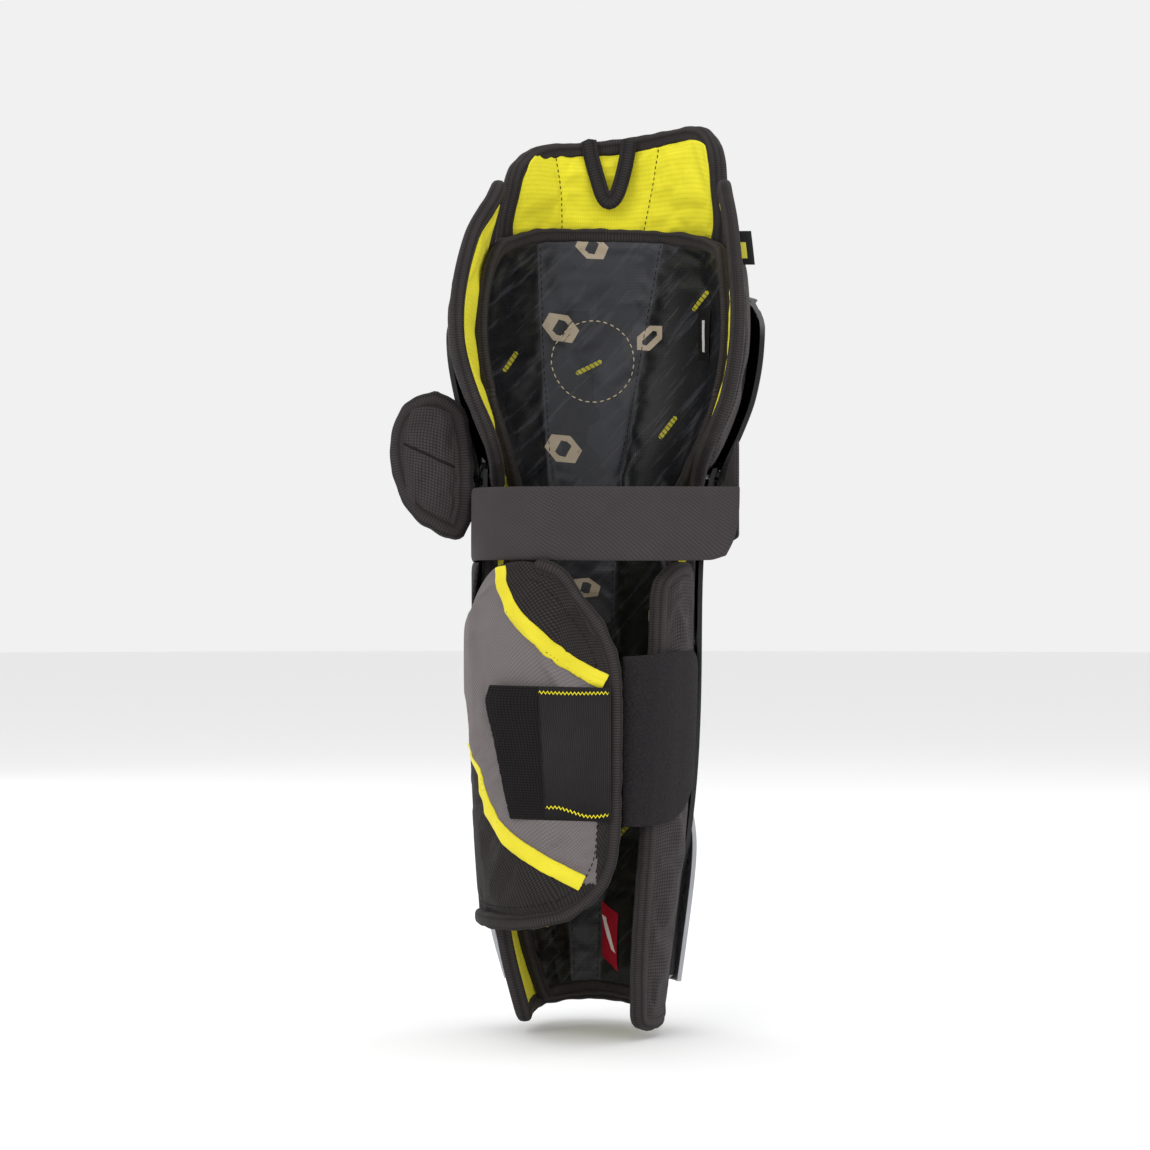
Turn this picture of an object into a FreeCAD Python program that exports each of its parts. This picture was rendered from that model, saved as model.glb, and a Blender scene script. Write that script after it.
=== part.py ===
"""Left ice hockey shin guard: hard knee and shin shells over padded channels, with straps and flaps.

The guard is worn upright. +Z runs up the leg, the shells face +Y, and the leg goes in from -Y.
The origin is on the leg's axis at the guard's foot. All sizes are in millimetres.
"""

import FreeCAD, Part
import math
import os

V = FreeCAD.Vector

# ---------------------------------------------------------------- driving dimensions
# Outline of the padded channel, as (height, value) rows.
PAD_HALF_WIDTH = [(0, 40), (50, 49.5), (100, 56), (150, 59.5), (200, 61), (262, 61), (300, 60.8),
                  (320, 63), (340, 70), (360, 76.5), (388, 81), (416, 81), (456, 75), (485, 68), (530, 66)]
PAD_CENTRE_X = [(0, -3), (60, -6.5), (190, -6), (262, -5), (300, -1.5), (335, 3), (360, 4), (416, 4),
                (456, 6),
                (485, 8), (530, 9)]
PAD_FRONT_Y = [(0, 45), (100, 54), (190, 58), (262, 59), (300, 59), (335, 62), (388, 68), (456, 70),
               (530, 70)]
OUTER_SIDE_TUCK = [(0, 0.002), (100, 0.003), (190, 0.004), (262, 0.004), (360, 0.001), (530, 0.001)]
INNER_SIDE_TUCK = [(0, 0.009), (262, 0.009), (318, 0.004), (360, 0.001), (530, 0.001)]
SQUARENESS = 0.91

# Layers, as distances outwards from the liner's inner face.
LINER = (0.0, 6.2)
PATCH = (6.9, 7.7)
PAD = (8.0, 15.6)
KNEE_PAD = (8.0, 13.8)
CAP_FOAM = (16.6, 21.2)
SHELL = (17.0, 19.6)
PLATE = (20.6, 23.0)
CAP = (21.8, 24.6)
TAPE = 5.0
TAPE_LIP = 0.6
GAP = 0.3
TAPE_EASE = 0.8

# Heights.
FOOT_Z = 2.0
SHIN_TOP_Z = 296.0
KNEE_Z = 384.0
LINER_TOP_Z = 456.0
CUFF_TOP_Z = 441.0
STRAP_Z = (267.5, 308.5)
WRAP_TOP_Z = 266.5

# Knee pivot, across the guard.
PIVOT_Y = 16.0
PIVOT_Z = 316.0
PIVOT_PIN_R = 3.0
PIVOT_BORE_R = 3.05
PIVOT_BOSS_R = 8.0
PIVOT_SEAT = 3.6

# Calf wrap and upper strap, which go round the back.
BACK_LEFT_X = [(60, -61.8), (130, -66.2), (190, -68.2), (262, -68.6), (320, -68.8)]
BACK_Y = [(60, -58), (120, -62), (190, -63), (262, -61), (320, -61)]
BACK_START_Y = -8.0
BACK_CORNER_X = -20.0
BACK_SQUARENESS = 0.77
BACK_EASE = 0.001
WRAP_END = 124.0
STRAP_FOLD = 36.0
STRAP_END = 190.0
WRAP = (0.0, 7.0)
STRAP = (0.0, 2.6)

LOOP_TURN = 0.7
LOOP_END_X = 16.5
LOOP_END_Y = -57.5

STEP = 0.25


# ---------------------------------------------------------------- curves and plans
def smooth(rows, x):
    """Value at x on a smooth curve through rows of (x, value)."""
    if x <= rows[0][0]:
        return float(rows[0][1])
    if x >= rows[-1][0]:
        return float(rows[-1][1])
    i = max(k for k in range(len(rows) - 1) if rows[k][0] <= x)
    x0, y0 = rows[i]
    x1, y1 = rows[i + 1]
    before, after = rows[max(i - 1, 0)], rows[min(i + 2, len(rows) - 1)]
    span = x1 - x0
    m0 = (y1 - before[1]) / (x1 - before[0]) * span
    m1 = (after[1] - y0) / (after[0] - x0) * span
    s = (x - x0) / span
    return (y0 * (2 * s ** 3 - 3 * s ** 2 + 1) + m0 * (s ** 3 - 2 * s ** 2 + s)
            + y1 * (3 * s ** 2 - 2 * s ** 3) + m1 * (s ** 3 - s ** 2))


def curve(*rows):
    """Function of one number through rows of (x, value)."""
    return lambda x: smooth(rows, x)


def ramp(x, low, high):
    """0 below low, 1 above high, smooth in between."""
    s = min(1.0, max(0.0, (x - low) / (high - low)))
    return s * s * (3 - 2 * s)


def wall_plan(u, z):
    """Inner face of the channel. |u| to 90 is the angle from the front; past 90 it is millimetres
    rearwards."""
    half = smooth(PAD_HALF_WIDTH, z) - PAD[1]
    depth = smooth(PAD_FRONT_Y, z) - PAD[1]
    centre = smooth(PAD_CENTRE_X, z)
    side = 1 if u >= 0 else -1
    if abs(u) <= 90:
        a = math.radians(abs(u))
        return centre + side * half * math.sin(a) ** SQUARENESS, depth * max(math.cos(a), 0) ** SQUARENESS
    rear = abs(u) - 90
    tuck = smooth(INNER_SIDE_TUCK if side > 0 else OUTER_SIDE_TUCK, z)
    return centre + side * (half - tuck * rear * rear), -rear


def back_plan(w, z):
    """Band round the back: below 0 the left side, 0 to 90 the rear left corner, then millimetres to the
    right."""
    left, back = smooth(BACK_LEFT_X, z), smooth(BACK_Y, z)
    if w < 0:
        return left, BACK_START_Y - w
    if w <= 90:
        a = math.radians(w)
        return (BACK_CORNER_X + (left - BACK_CORNER_X) * max(math.cos(a), 0) ** BACK_SQUARENESS,
                BACK_START_Y + (back - BACK_START_Y) * math.sin(a) ** BACK_SQUARENESS)
    run = w - 90
    return BACK_CORNER_X + run, back + BACK_EASE * run * run


def loop_flap_plan(s, z):
    """Loop-faced flap: along the inner wing's outside and round its edge, then across behind the calf."""
    if s <= LOOP_TURN:
        foot = place(wall_plan, 97 + 36 * s / LOOP_TURN, z, PAD[1] + 1.2 * ramp(s, 0.35, 0.6))
        return foot.x, foot.y
    turn = place(wall_plan, 133, z, PAD[1] + 1.2)
    ahead = place(wall_plan, 132, z, PAD[1] + 1.2)
    k = (s - LOOP_TURN) / (1 - LOOP_TURN)
    knee = V(turn.x + (turn.x - ahead.x) * 6, turn.y + (turn.y - ahead.y) * 6)
    end = V(LOOP_END_X, LOOP_END_Y)
    point = V(turn.x, turn.y) * (1 - k) ** 2 + knee * (2 * k * (1 - k)) + end * k ** 2
    return point.x, point.y


def anchor_plan(s, z):
    """Strap anchor flap, flaring out from the inner side of the shell."""
    x = curve((0, 66.8), (0.35, 71.5), (0.7, 77), (1, 81))
    y = curve((0, 0), (0.35, -17), (0.7, -35), (1, -45))
    return x(s), y(s)


def side_flap_plan(s, z):
    """Round knee-side flap, standing out to the outer side."""
    start = -73.4 - 5.6 * ramp(z, 318, 352)
    return start + (-119 - start) * s, -13 + 9 * s - 5 * math.sin(math.pi * s)


# Each plan's outward side: +1 where the outside is to the left of the way the plan runs.
OUTSIDE = {wall_plan: 1, back_plan: -1, loop_flap_plan: 1, anchor_plan: 1, side_flap_plan: -1}
NUDGE = {wall_plan: STEP, back_plan: STEP, loop_flap_plan: 0.01, anchor_plan: 0.01, side_flap_plan: 0.01}


def place(plan, a, z, t):
    """Point at distance t outside a plan."""
    d = NUDGE[plan]
    x0, y0 = plan(a - d, z)
    x1, y1 = plan(a + d, z)
    x, y = plan(a, z)
    dx, dy = x1 - x0, y1 - y0
    length = math.hypot(dx, dy)
    side = OUTSIDE[plan]
    return V(x - side * t * dy / length, y + side * t * dx / length, z)


# ---------------------------------------------------------------- solids
def closed_solid(faces):
    shell = Part.makeShell(faces)
    shell.sewShape(1e-3)
    solid = Part.makeSolid(Part.Shell(shell.Faces) if shell.ShapeType != "Shell" else shell)
    if solid.Volume < 0:
        solid.reverse()
    return solid


def between(inner, outer):
    """Closed solid between two grids of points."""
    surfaces = []
    for grid in (inner, outer):
        surface = Part.BSplineSurface()
        surface.interpolate(grid)
        surfaces.append(surface)
    faces = [s.toShape() for s in surfaces]
    for iso, at in (("uIso", 0), ("uIso", 1), ("vIso", 0), ("vIso", 1)):
        ends = []
        for s in surfaces:
            low_u, high_u, low_v, high_v = s.bounds()
            value = (low_u, high_u)[at] if iso == "uIso" else (low_v, high_v)[at]
            ends.append(getattr(s, iso)(value).toShape())
        faces.append(Part.makeRuledSurface(ends[0], ends[1], 1))
    return closed_solid(faces)


def panel(plan, left, right, bottom, top, inside, outside, columns=12, rows=8, bulge=None):
    """Curved panel. left and right give the plan value up the edges, bottom and top the height along them."""
    inner, outer = [], []
    for i in range(columns + 1):
        p = i / columns
        inner.append([])
        outer.append([])
        for j in range(rows + 1):
            q = j / rows
            a = left(q) + (right(q) - left(q)) * p
            z = bottom(p) + (top(p) - bottom(p)) * q
            rise = bulge(a, z) if bulge else 0.0
            inner[-1].append(place(plan, a, z, inside + rise))
            outer[-1].append(place(plan, a, z, outside + rise))
    return between(inner, outer)


def side_tape(plan, edge, way, bottom, top, layer):
    """Binding tape along an upright edge; way is +1 towards larger plan values."""
    near = lambda q: edge(q) + way * GAP
    far = lambda q: edge(q) + way * (GAP + TAPE)
    low, high = (near, far) if way > 0 else (far, near)
    return panel(plan, low, high, lambda p: bottom, lambda p: top,
                 layer[0] - TAPE_LIP, layer[1] + TAPE_LIP, 2, 20)


def end_tape(plan, left, right, edge, way, layer):
    """Binding tape along a bottom or top edge; way is +1 upwards."""
    near = lambda p: edge(p) + way * GAP
    far = lambda p: edge(p) + way * (GAP + TAPE)
    low, high = (near, far) if way > 0 else (far, near)
    return panel(plan, lambda q: left, lambda q: right, low, high,
                 layer[0] - TAPE_LIP, layer[1] + TAPE_LIP, 14, 2)


def outward(plan, a, z):
    return (place(plan, a, z, 1) - place(plan, a, z, 0)).normalize()


def peg(plan, a, z, start, end, radius):
    """Cylinder square to a plan, between two layer distances."""
    return Part.makeCylinder(radius, end - start, place(plan, a, z, start), outward(plan, a, z))


def button_head(plan, a, z, start, radius, height):
    """Low domed rivet head."""
    sphere_r = (radius * radius + height * height) / (2 * height)
    n = outward(plan, a, z)
    foot = place(plan, a, z, start)
    ball = Part.makeSphere(sphere_r, foot - n * (sphere_r - height))
    return ball.common(Part.makeCylinder(radius, height + 1, foot, n))


def slot(plan, a, z, length, width, tilt):
    """Rounded slot cutter, square to the wall, its long way turned by tilt degrees from level."""
    n = outward(plan, a, z)
    level = V(0, 0, 1).cross(n).normalize()
    up = n.cross(level)
    along = level * math.cos(math.radians(tilt)) + up * math.sin(math.radians(tilt))
    centre = place(plan, a, z, SHELL[0] - 4)
    reach = 14
    ends = [centre + along * (s * (length - width) / 2) for s in (-1, 1)]
    body = Part.makeCylinder(width / 2, reach, ends[0], n)
    body = body.fuse(Part.makeCylinder(width / 2, reach, ends[1], n))
    across = n.cross(along).normalize()
    corners = [ends[0] + across * width / 2, ends[1] + across * width / 2,
               ends[1] - across * width / 2, ends[0] - across * width / 2]
    bar = Part.Face(Part.makePolygon(corners + corners[:1])).extrude(n * reach)
    return body.fuse(bar).removeSplitter()


# ---------------------------------------------------------------- shin section
def plate_ridge(u, z):
    """The front plate's raised spine and its two shoulders."""
    spine = 3.2 * math.exp(-(u / 9.0) ** 2) * ramp(z, 26, 60) * (1 - ramp(z, 225, 256))
    step = 1.6 * (1 - ramp(abs(u), 26, 30)) * ramp(z, 40, 52) * (1 - ramp(z, 232, 246))
    return spine + step


RIVET_R = 1.95
RIVET_BORE_R = 2.05
RIVET_TAIL_R = 2.8
RIVET_SPOTS = [(side * u, z) for z, u in ((48, 58), (150, 44), (236, 36)) for side in (-1, 1)]


def make_shin_shell():
    left = curve((0, -74), (0.25, -76), (0.42, -84), (0.6, -88), (1, -88))
    right = curve((0, 74), (0.25, 76), (0.42, 86), (0.6, 92), (1, 92))
    bottom = curve((0, 30), (0.2, 22), (0.5, 18), (0.8, 22), (1, 30))
    top = curve((0, 320), (0.12, 322), (0.2, 314), (0.32, 301), (0.5, 299), (0.68, 301), (0.8, 314),
                (0.88, 322), (1, 320))
    shell = panel(wall_plan, left, right, bottom, top, SHELL[0], SHELL[1], 40, 18)
    for z in (128, 152, 176, 200, 224):
        for side in (-1, 1):
            shell = shell.cut(slot(wall_plan, side * 66, z, 20, 6, side * 24))
    for u, z in RIVET_SPOTS:
        shell = shell.cut(peg(wall_plan, u, z, SHELL[0] - 2, SHELL[1] + 2, RIVET_BORE_R))
    return pivot_holes(pivot_bosses(shell))


def pivot_side(layer, side):
    """X of a layer's outer face at the pivot."""
    depth = smooth(PAD_FRONT_Y, PIVOT_Z) - PAD[1] + layer
    reach = math.degrees(math.acos(min(1.0, (PIVOT_Y / depth) ** 1.1)))
    return place(wall_plan, side * reach, PIVOT_Z, layer).x


PIVOT_FACE = {side: pivot_side(SHELL[1], side) + side * PIVOT_SEAT for side in (-1, 1)}


def pivot_bosses(shape):
    """Flat round seats round the knee pivot, standing out of the shin shell to the pivot face."""
    for side, face in PIVOT_FACE.items():
        depth = PIVOT_SEAT + 2.0
        start = V(face - side * depth, PIVOT_Y, PIVOT_Z)
        boss = Part.makeCylinder(PIVOT_BOSS_R, depth, start, V(side, 0, 0))
        shape = shape.fuse(boss)
    return shape.removeSplitter()


def pivot_holes(shape):
    for side in (-1, 1):
        shape = shape.cut(Part.makeCylinder(PIVOT_BORE_R, 40, V(side * 45, PIVOT_Y, PIVOT_Z), V(side, 0, 0)))
    return shape


def make_front_plate():
    left = curve((0, -70), (0.2, -76), (0.34, -70), (0.5, -54), (0.75, -46), (1, -34))
    right = curve((0, 80), (0.2, 86), (0.34, 82), (0.5, 62), (0.75, 50), (1, 36))
    bottom = curve((0, 27), (0.5, 25), (1, 27))
    top = curve((0, 238), (0.3, 250), (0.5, 258), (0.7, 250), (1, 238))
    plate = panel(wall_plan, left, right, bottom, top, PLATE[0], PLATE[1], 36, 24, plate_ridge)
    for z in (92, 112, 132):
        for side in (-1, 1):
            plate = plate.cut(slot(wall_plan, side * 19, z, 15, 4.5, side * 35))
    for u, z in RIVET_SPOTS:
        plate = plate.cut(peg(wall_plan, u, z, SHELL[0], PLATE[1] + 6, RIVET_BORE_R))
    return plate


def make_plate_rivets():
    rivets = []
    for u, z in RIVET_SPOTS:
        lift = plate_ridge(u, z)
        top = PLATE[1] + lift + 0.7
        rivet = peg(wall_plan, u, z, SHELL[0] - 0.7, top + 0.3, RIVET_R)
        rivet = rivet.fuse(button_head(wall_plan, u, z, top, 4.2, 1.7))
        rivet = rivet.fuse(peg(wall_plan, u, z, SHELL[0] - 0.95, SHELL[0] - 0.5, RIVET_TAIL_R))
        rivets.append(rivet.removeSplitter())
    return Part.makeCompound(rivets)


SHIN_LEFT = curve((0, -108), (0.25, -115), (1, -115))
SHIN_RIGHT = curve((0, 94), (1, 94))


def make_shin_pad():
    bottom = curve((0, FOOT_Z + TAPE + GAP), (0.4, FOOT_Z + 12), (0.6, FOOT_Z + 12), (1, FOOT_Z + 6))
    top = curve((0, SHIN_TOP_Z - 8), (0.3, SHIN_TOP_Z), (0.7, SHIN_TOP_Z), (1, SHIN_TOP_Z))
    return panel(wall_plan, SHIN_LEFT, SHIN_RIGHT, bottom, top, PAD[0], PAD[1], 40, 20)


def make_shin_binding():
    side = side_tape(wall_plan, SHIN_LEFT, -1, FOOT_Z, SHIN_TOP_Z - 8, PAD)
    foot = curve((0, FOOT_Z + TAPE), (0.4, FOOT_Z + 12), (0.6, FOOT_Z + 12), (1, FOOT_Z + 6))
    end = end_tape(wall_plan, -108, 94, foot, -1, PAD)
    return Part.makeCompound([side, end])


LINER_LEFT = curve((0, -72), (0.2, -78), (0.7, -76), (1, -68))
LINER_RIGHT = curve((0, 66), (0.2, 72), (0.7, 72), (1, 68))
LINER_FOOT = curve((0, 19), (0.5, 23), (1, 19))


def make_shin_liner():
    top = lambda p: SHIN_TOP_Z + 2
    return panel(wall_plan, LINER_LEFT, LINER_RIGHT, LINER_FOOT, top, LINER[0], LINER[1], 28, 20)


def make_shin_liner_binding():
    left = side_tape(wall_plan, LINER_LEFT, -1, 19, SHIN_TOP_Z + 2, LINER)
    right = side_tape(wall_plan, LINER_RIGHT, 1, 19, SHIN_TOP_Z + 2, LINER)
    foot = end_tape(wall_plan, -72, 66, LINER_FOOT, -1, LINER)
    return Part.makeCompound([left, right, foot])


def make_liner_patches():
    """Hook patches that hold the liner to the shin and knee pads."""
    spots = [(-30, 60), (30, 60), (-30, 230), (30, 230)]
    return Part.makeCompound([patch_at(u, z, PATCH) for u, z in spots])


def patch_at(u, z, layer, half_u=9, half_z=17):
    return panel(wall_plan, lambda q: u - half_u, lambda q: u + half_u, lambda p: z - half_z,
                 lambda p: z + half_z, layer[0], layer[1], 4, 4)


def make_liner_label():
    return panel(wall_plan, lambda q: 44.0, lambda q: 57.0, curve((0, 40), (1, 36)), curve((0, 68), (1, 64)),
                 -1.3, -0.3, 4, 4)


# ---------------------------------------------------------------- inner wing and loop flap
WING_LEFT = curve((0, 96.5), (1, 96.5))
WING_RIGHT = curve((0, 120), (0.15, 126), (0.5, 127), (1, 127))
WING_POCKET = (10.6, 12.4)
WING_TOP = lambda p: WRAP_TOP_Z - 2


def make_inner_wing():
    bottom = curve((0, FOOT_Z + 5), (1, FOOT_Z))
    pad = panel(wall_plan, WING_LEFT, WING_RIGHT, bottom, WING_TOP, PAD[0], PAD[1], 6, 20)
    return pad.cut(wing_plate(GAP))


def wing_plate(grow):
    """Stiff plate inside the wing, or with grow its pocket."""
    return panel(wall_plan, curve((0, 102 - grow), (1, 102 - grow)),
                 curve((0, 112 + grow), (0.3, 119 + grow), (1, 121 + grow)),
                 lambda p: 18 - grow, lambda p: 246 + grow,
                 WING_POCKET[0] - grow, WING_POCKET[1] + grow, 6, 10)


def make_inner_wing_binding():
    return side_tape(wall_plan, WING_RIGHT, 1, FOOT_Z, WRAP_TOP_Z - 2, PAD)


def make_loop_flap():
    bottom = curve((0, 142), (0.2, 130), (0.4, 123), (0.6, 120), (1, 120))
    top = curve((0, 208), (0.1, 216), (0.3, 218), (1, 217))
    return panel(loop_flap_plan, curve((0, 0.0), (1, 0.0)), curve((0, 1.0), (1, 1.0)), bottom, top, 1.0,
                 2.8, 16, 6)


# ---------------------------------------------------------------- calf wrap
WRAP_START = 0.5
WRAP_LEFT = lambda q: WRAP_START
WRAP_RIGHT = lambda q: WRAP_END - TAPE - GAP
WRAP_FOOT = curve((0, 70), (0.55, 76), (0.75, 81), (0.9, 95), (1, 114))
WRAP_HEAD = curve((0, WRAP_TOP_Z), (0.4, WRAP_TOP_Z - 0.2), (0.62, WRAP_TOP_Z - 2.0), (0.78, 257),
                  (0.9, 240), (1, 216))


def make_wrap_pad():
    return panel(back_plan, WRAP_LEFT, WRAP_RIGHT, WRAP_FOOT, WRAP_HEAD, 0.0, 4.2, 14, 20)


def make_wrap_plate():
    """Stiff plate between the wrap's padding and its cover."""
    foot = curve((0, 84), (0.6, 90), (1, 112))
    head = curve((0, 250), (0.6, 246), (1, 220))
    return panel(back_plan, lambda q: 8.0, lambda q: 108.0, foot, head, 4.5, 5.7, 12, 8)


def make_wrap_cover():
    return panel(back_plan, WRAP_LEFT, WRAP_RIGHT, WRAP_FOOT, WRAP_HEAD, 6.0, 7.0, 14, 20)


def make_wrap_binding():
    edge = side_tape(back_plan, lambda q: WRAP_RIGHT(q) + GAP, 1, 114, 216, WRAP)
    eased = lambda p: WRAP_FOOT(p) - TAPE_EASE * (1 + p)
    foot = end_tape(back_plan, WRAP_START, WRAP_END - TAPE - GAP, eased, -1, WRAP)
    return Part.makeCompound([edge, foot])


def make_wrap_root():
    return panel(back_plan, lambda q: -8.5, lambda q: -0.2, lambda p: 66, lambda p: WRAP_TOP_Z, 0.0, 7.0, 3,
                 8)


def make_calf_strap():
    return panel(back_plan, lambda q: 29.0, lambda q: 120.5, curve((0, 128), (0.12, 123), (1, 122)),
                 curve((0, 192), (0.12, 197), (1, 197)), 8.6, 10.6, 14, 4)


def make_calf_strap_hook():
    return panel(back_plan, lambda q: 32.0, lambda q: 68.0, lambda p: 128, lambda p: 191, 7.3, 8.4, 8, 4)


# ---------------------------------------------------------------- upper strap
def strap_piece(start, end, layer, low=STRAP_Z[0], high=STRAP_Z[1], columns=12):
    return panel(back_plan, lambda q: start, lambda q: end, lambda p: low, lambda p: high, layer[0],
                 layer[1], columns, 3)


def make_strap_root():
    return strap_piece(-9.0, STRAP_FOLD - 0.3, STRAP)


def make_upper_strap():
    foot = curve((0, STRAP_Z[0]), (0.86, STRAP_Z[0]), (0.95, STRAP_Z[0] + 5), (1, STRAP_Z[0] + 12))
    end = curve((0, STRAP_END - 13), (1, STRAP_END))
    return panel(back_plan, lambda q: STRAP_FOLD + 0.3, end, foot, lambda p: STRAP_Z[1],
                 STRAP[0], STRAP[1], 20, 3)


def make_strap_hook():
    return strap_piece(146, 176, (-1.6, -0.3), STRAP_Z[0] + 8, STRAP_Z[1] - 4, 5)


def make_strap_anchor():
    head = curve((0, 300), (0.35, 303), (0.7, 322), (1, 336))
    return panel(anchor_plan, lambda q: 0.0, lambda q: 1.0, lambda p: STRAP_Z[0] + 1, head, -3.0, 0.0, 10, 5)


# ---------------------------------------------------------------- knee section
REAR = [(0, 2), (0.05, 9), (0.1, 20), (0.18, 33), (0.3, 41), (0.46, 44), (0.62, 42), (0.79, 34), (0.9, 27),
        (1, 20)]
KNEE_LEFT = lambda q: -(90 + smooth(REAR, q) - TAPE * 0.6)
KNEE_RIGHT = lambda q: 90 + smooth(REAR, q) - TAPE * 0.6
KNEE_FOOT_Z = 308.0
WING_TIP_Z = 484.0
KNEE_HEAD = curve((0, 474), (0.04, WING_TIP_Z - TAPE), (0.09, 476), (0.125, 460), (0.15, 445),
                  (0.175, CUFF_TOP_Z),
                  (0.5, CUFF_TOP_Z), (0.825, CUFF_TOP_Z), (0.85, 445), (0.875, 460), (0.91, 476),
                  (0.96, WING_TIP_Z - TAPE), (1, 474))
KNEE_FOOT = curve((0, KNEE_FOOT_Z), (0.2, 304), (0.5, 301), (0.8, 304), (1, KNEE_FOOT_Z))


def make_knee_pad():
    pad = panel(wall_plan, KNEE_LEFT, KNEE_RIGHT, KNEE_FOOT, KNEE_HEAD, KNEE_PAD[0], KNEE_PAD[1], 72, 20)
    for side, face in PIVOT_FACE.items():
        pocket = Part.makeCylinder(PIVOT_BOSS_R + 1, 30, V(face - side * 10.4, PIVOT_Y, PIVOT_Z),
                                   V(side, 0, 0))
        pad = pad.cut(pocket)
    for side in (-1, 1):
        pad = pad.cut(knee_wing_plate(side, GAP))
    return pad


def knee_wing_plate(side, grow=0.0):
    """Stiff plate inside a knee wing, or with grow its pocket."""
    near, far = 96 - grow, curve((0, 112 + grow), (0.5, 124 + grow), (1, 112 + grow))
    low = lambda q: -far(q) if side < 0 else near
    high = lambda q: -near if side < 0 else far(q)
    return panel(wall_plan, low, high, lambda p: 346 - grow, lambda p: 440 + grow, WING_POCKET[0] - grow,
                 WING_POCKET[1] + grow, 5, 8)


def make_knee_wing_plates():
    return Part.makeCompound([knee_wing_plate(side) for side in (-1, 1)])


def make_knee_binding():
    left = side_tape(wall_plan, KNEE_LEFT, -1, KNEE_FOOT_Z, 474, KNEE_PAD)
    right = side_tape(wall_plan, KNEE_RIGHT, 1, KNEE_FOOT_Z, 474, KNEE_PAD)
    return Part.makeCompound([left, right])


LINER_REAR = [(0, 66), (0.16, 90), (0.35, 101), (0.55, 106), (0.8, 101), (0.93, 88), (1, 76)]
KNEE_LINER_TOP = curve((0, LINER_TOP_Z - TAPE - 8), (0.1, LINER_TOP_Z - TAPE), (0.5, LINER_TOP_Z - TAPE),
                       (0.9, LINER_TOP_Z - TAPE), (1, LINER_TOP_Z - TAPE - 8))


def make_knee_liner():
    left = lambda q: -smooth(LINER_REAR, q)
    right = lambda q: smooth(LINER_REAR, q)
    return panel(wall_plan, left, right, lambda p: 303, KNEE_LINER_TOP, LINER[0], LINER[1], 40, 20)


def make_knee_liner_binding():
    left = side_tape(wall_plan, lambda q: -smooth(LINER_REAR, q), -1, 303, 443, LINER)
    right = side_tape(wall_plan, lambda q: smooth(LINER_REAR, q), 1, 303, 443, LINER)
    head = end_tape(wall_plan, -76, 76, KNEE_LINER_TOP, 1, LINER)
    return Part.makeCompound([left, right, head])


def make_knee_patches():
    spots = [(-48, 420), (48, 420), (0, 340)]
    return Part.makeCompound([patch_at(u, z, PATCH, 9, 12) for u, z in spots])


def cap_dome(u, z):
    """The knee cap's dome, its raised centre panel, and its side grooves."""
    tall = math.cos(math.pi * min(1, max(-1, (z - KNEE_Z) / 92.0)) / 2) ** 2
    dome = 13.0 * tall * math.exp(-(u / 52.0) ** 2)
    edge = 30 + 9 * tall
    panel_step = 2.2 * (1 - ramp(abs(u), edge - 3, edge + 2)) * ramp(z, 322, 332) * (1 - ramp(z, 424, 434))
    rib = 1.5 * math.exp(-((abs(u) - 66) / 4.0) ** 2) * ramp(z, 330, 350) * (1 - ramp(z, 415, 432))
    return dome + panel_step + rib


def make_knee_cap():
    left = curve((0, -86), (0.1, -89), (0.4, -90), (0.8, -86), (1, -64))
    right = curve((0, 86), (0.1, 89), (0.4, 92), (0.8, 88), (1, 64))
    bottom = curve((0, 306), (0.1, 303), (0.18, 304), (0.3, 292), (0.5, 286), (0.7, 292), (0.82, 304),
                   (0.9, 303), (1, 306))
    top = curve((0, 420), (0.2, 436), (0.5, 440), (0.8, 436), (1, 420))
    cap = panel(wall_plan, left, right, bottom, top, CAP[0], CAP[1], 48, 34, cap_dome)
    for side, face in PIVOT_FACE.items():
        seat = Part.makeCylinder(PIVOT_BOSS_R, 5.7, V(face + side * 0.3, PIVOT_Y, PIVOT_Z), V(side, 0, 0))
        cap = cap.fuse(seat)
        inside = Part.makeCylinder(PIVOT_BOSS_R + 3.0, 12, V(face + side * 0.3, PIVOT_Y, PIVOT_Z),
                                   V(-side, 0, 0))
        cap = cap.cut(inside)
    cap = cap.removeSplitter()
    for side in (-1, 1):
        hole = Part.makeCylinder(PIVOT_PIN_R + 0.02, 40, V(side * 45, PIVOT_Y, PIVOT_Z), V(side, 0, 0))
        cap = cap.cut(hole)
    return cap


def make_cap_foam():
    return panel(wall_plan, curve((0, -52), (1, -50)), curve((0, 52), (1, 50)), lambda p: 334, lambda p: 428,
                 CAP_FOAM[0], CAP_FOAM[1], 12, 8)


def make_pivot_rivets():
    rivets = []
    for side, face in PIVOT_FACE.items():
        outer = face + side * 6.2
        out = V(side, 0, 0)
        shank = Part.makeCylinder(PIVOT_PIN_R, 15.4, V(face - side * 9.0, PIVOT_Y, PIVOT_Z), out)
        sphere_r = (6.5 ** 2 + 2.2 ** 2) / (2 * 2.2)
        ball = Part.makeSphere(sphere_r, V(outer, PIVOT_Y, PIVOT_Z) - out * (sphere_r - 2.2))
        head = ball.common(Part.makeCylinder(6.5, 4, V(outer, PIVOT_Y, PIVOT_Z), out))
        tail = Part.makeCylinder(4.4, 0.9, V(face - side * 9.4, PIVOT_Y, PIVOT_Z), out)
        rivets.append(shank.fuse(head).fuse(tail).removeSplitter())
    return Part.makeCompound(rivets)


def make_side_label():
    """Folded woven label, sewn into the inner knee wing's outer seam."""
    return panel(wall_plan, lambda q: 106, lambda q: 110, lambda p: 434, lambda p: 452, PAD[1] + 0.4,
                 PAD[1] + 7.5, 2, 3)


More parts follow.
